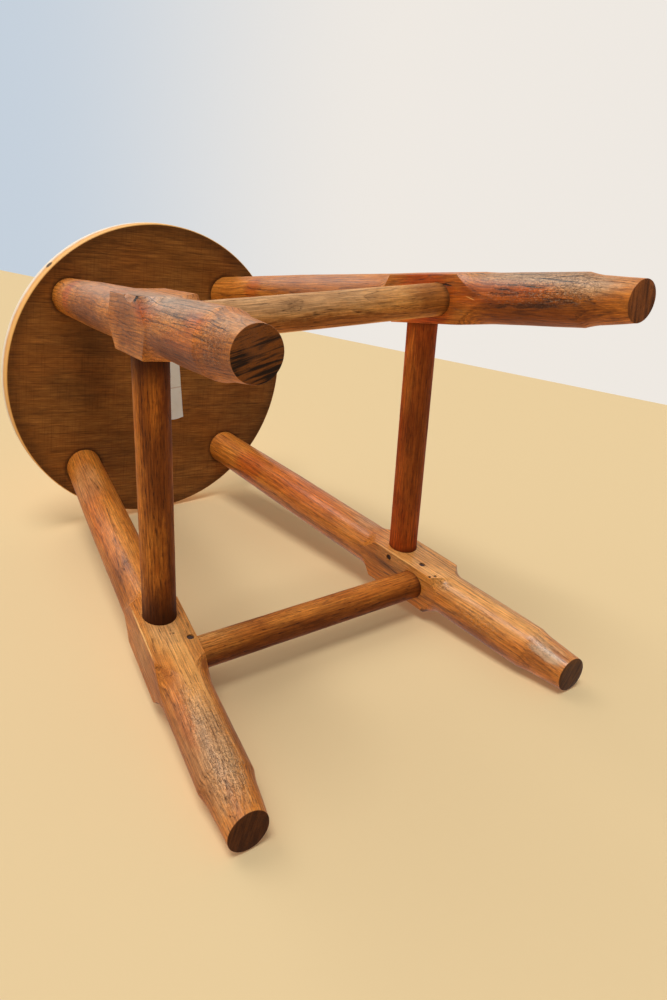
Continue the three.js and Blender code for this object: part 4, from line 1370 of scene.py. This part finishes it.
class STOOL_OT_stage(StoolOperator, bpy.types.Operator):
    """Set up the camera, the pale floor and the soft light"""
    bl_idname = "stool.stage"
    bl_label = "Stage"
    # Each sun's direction, the name of its strength, its width in degrees, and whether it shows
    # in reflections and casts shadows
    suns = {
        "key_sun": ((0.22, 1.0, -0.15), "key", 24, True, True),
        "high_sun": ((0.2, 0.8, 0.55), "high", 34, True, True),
        "glint_sun": ((0.33, 0.9, 0.2), "glint", 22, True, False),
        "head_sun": ((0.2, 0.3, 1.0), "fill", 60, False, True),
        "front_sun": ((0.3, -1.0, 0.4), "under", 60, False, True),
    }
    # How far the floors reach, their gap to the stool, and how close and far the camera sees
    ground_reach, ground_gap, lying_reach, lying_depth, lying_gap = 6.0, 0.6 * MM, 5, 8, 0.3 * MM
    clip = (0.01, 50.0)

    def execute(self, context):
        scene = context.scene
        look = scene.stool_stage
        self.camera(scene)
        lying = self.sheet("lying_floor", self.lying_corners(), look.floor)
        lying.visible_glossy = False
        reach, low = self.ground_reach, CAD_BOX[0].z - self.ground_gap
        corners = [(x * reach, y * reach, low) for x, y in ((-1, -1), (1, -1), (1, 1), (-1, 1))]
        ground = self.sheet("standing_floor", corners, look.floor)
        for flag in ("visible_diffuse", "visible_glossy", "visible_transmission", "visible_shadow"):
            setattr(ground, flag, False)
        for name, (direction, strength, width, glossy, shadow) in self.suns.items():
            data = bpy.data.lights.new(name, "SUN")
            data.energy, data.angle = getattr(look, strength), math.radians(width)
            data.use_shadow = shadow
            lamp = link(name, data)
            lamp.matrix_world = Vector(direction).to_track_quat("Z", "Y").to_matrix().to_4x4()
            lamp.visible_glossy = glossy
        self.sky(scene, look)
        return {"FINISHED"}

    def camera(self, scene):
        data = bpy.data.cameras.new("camera")
        data.sensor_width, data.sensor_fit, data.lens = SENSOR, "AUTO", CAMERA_LENS
        data.clip_start, data.clip_end = self.clip
        scene.camera = link("camera", data)
        scene.camera.matrix_world = (Matrix.Translation(CAMERA_SPOT)
                                     @ CAMERA_TURN.to_matrix().to_4x4())

    def lying_plane(self):
        """The plane y = offset + slope z that the stool's front legs and seat lie on."""
        legs = np.vstack([node_points(f"leg_{leg}") for leg in ("front_right", "front_left")])
        seat = node_points("seat")

        def offset(points, slope):
            return (points[:, 1] - slope * points[:, 2]).min()

        low, high = -1.0, 1.0
        for _ in range(50):
            slope = (low + high) / 2
            low, high = (slope, high) if offset(seat, slope) > offset(legs, slope) else (low, slope)
        return slope, offset(legs, slope)

    def lying_corners(self):
        """A wide floor under the lying stool that ends where the photograph's wall stands."""
        slope, offset = self.lying_plane()
        offset -= self.lying_gap
        width, height = FRAME_SIZE
        ends = []
        for column, row in WALL_LINE:
            ray = CAMERA_TURN.to_matrix() @ Vector((
                (column / width - 0.5) * SENSOR * width / height, (0.5 - row / height) * SENSOR,
                -CAMERA_LENS))
            reach = (offset + slope * CAMERA_SPOT.z - CAMERA_SPOT.y) / (ray.y - slope * ray.z)
            ends.append(CAMERA_SPOT + ray * reach)
        along = (ends[1] - ends[0]).normalized()
        normal = Vector((0, 1, -slope)).normalized()
        nearer = along.cross(normal)
        if nearer.dot(CAMERA_SPOT - ends[0]) < 0:
            nearer = -nearer
        far, near = ends[0] - along * self.lying_reach, ends[1] + along * self.lying_reach
        corners = [far, near, near + nearer * self.lying_depth, far + nearer * self.lying_depth]
        turn = (corners[1] - corners[0]).cross(corners[2] - corners[1])
        return corners if turn.dot(normal) > 0 else corners[::-1]

    def sheet(self, name, corners, color):
        """A large floor that shows only its face and stops no light."""
        mesh = bpy.data.meshes.new(name)
        mesh.from_pydata(corners, [], [(0, 1, 2, 3)])
        obj = link(name, mesh)
        material = bpy.data.materials.new(name)
        net = fresh_net(material)
        face = net.value("ShaderNodeBsdfDiffuse", {"Color": color})
        clear = net.value("ShaderNodeBsdfTransparent")
        back = net.value("ShaderNodeNewGeometry", output="Backfacing")
        shadow = net.value("ShaderNodeLightPath", output="Is Shadow Ray")
        shader = net.value("ShaderNodeMixShader", {
            0: net.math("MAXIMUM", back, shadow), 1: face, 2: clear})
        net.node("ShaderNodeOutputMaterial", {"Surface": shader})
        mesh.materials.append(material)
        return obj

    def sky(self, scene, look):
        """Even light that is weaker from below, and a backdrop for the camera and reflections."""
        world = bpy.data.worlds.new("studio")
        net = fresh_net(world)
        path = net.node("ShaderNodeLightPath")
        seen, glossy, passed = (
            net.out(path, f"Is {ray} Ray") for ray in ("Camera", "Glossy", "Transmission"))
        rightward, backward, upward = net.split(net.value("ShaderNodeTexCoord", output="Generated"))
        shade = net.step(upward, -0.7, 0.15, 0.22, 1.0)
        mirrored = net.math("MAXIMUM", glossy, passed) * net.step(backward, 0.0, 0.22, 0.04, 1.0)
        strength = net.math("MAXIMUM", shade * net.math("MAXIMUM", mirrored, look.sky), seen)
        color = net.mix(net.step(rightward, -0.65, -0.25) * seen, look.wall, look.wall_cool)
        shader = net.value("ShaderNodeBackground", {"Color": color, "Strength": strength})
        net.node("ShaderNodeOutputWorld", {"Surface": shader})
        scene.world = world
        scene.view_settings.view_transform = "Standard"


class STOOL_PT_build(bpy.types.Panel):
    """Lists what can be built"""
    bl_label = "Turned Oak Stool"
    bl_idname = "STOOL_PT_build"
    bl_space_type = "VIEW_3D"
    bl_region_type = "UI"
    bl_category = "Stool"

    def draw(self, context):
        for operator in OPERATORS:
            self.layout.operator(operator.bl_idname)
        for name, group in GROUPS.items():
            box = self.layout.box()
            for value in group.__annotations__:
                box.prop(getattr(context.scene, name), value)


OPERATORS = (STOOL_OT_seat, STOOL_OT_legs, STOOL_OT_stretchers, STOOL_OT_nails, STOOL_OT_label,
             STOOL_OT_stage)
CLASSES = (*GROUPS.values(), *OPERATORS, STOOL_PT_build)


def register():
    for cls in CLASSES:
        bpy.utils.register_class(cls)
    for name, group in GROUPS.items():
        setattr(bpy.types.Scene, name, PointerProperty(type=group))


def unregister():
    for name in GROUPS:
        delattr(bpy.types.Scene, name)
    for cls in reversed(CLASSES):
        bpy.utils.unregister_class(cls)


def main():
    register()
    for operator in OPERATORS:
        group, name = operator.bl_idname.split(".")
        getattr(getattr(bpy.ops, group), name)()


if __name__ == "__main__":
    main()
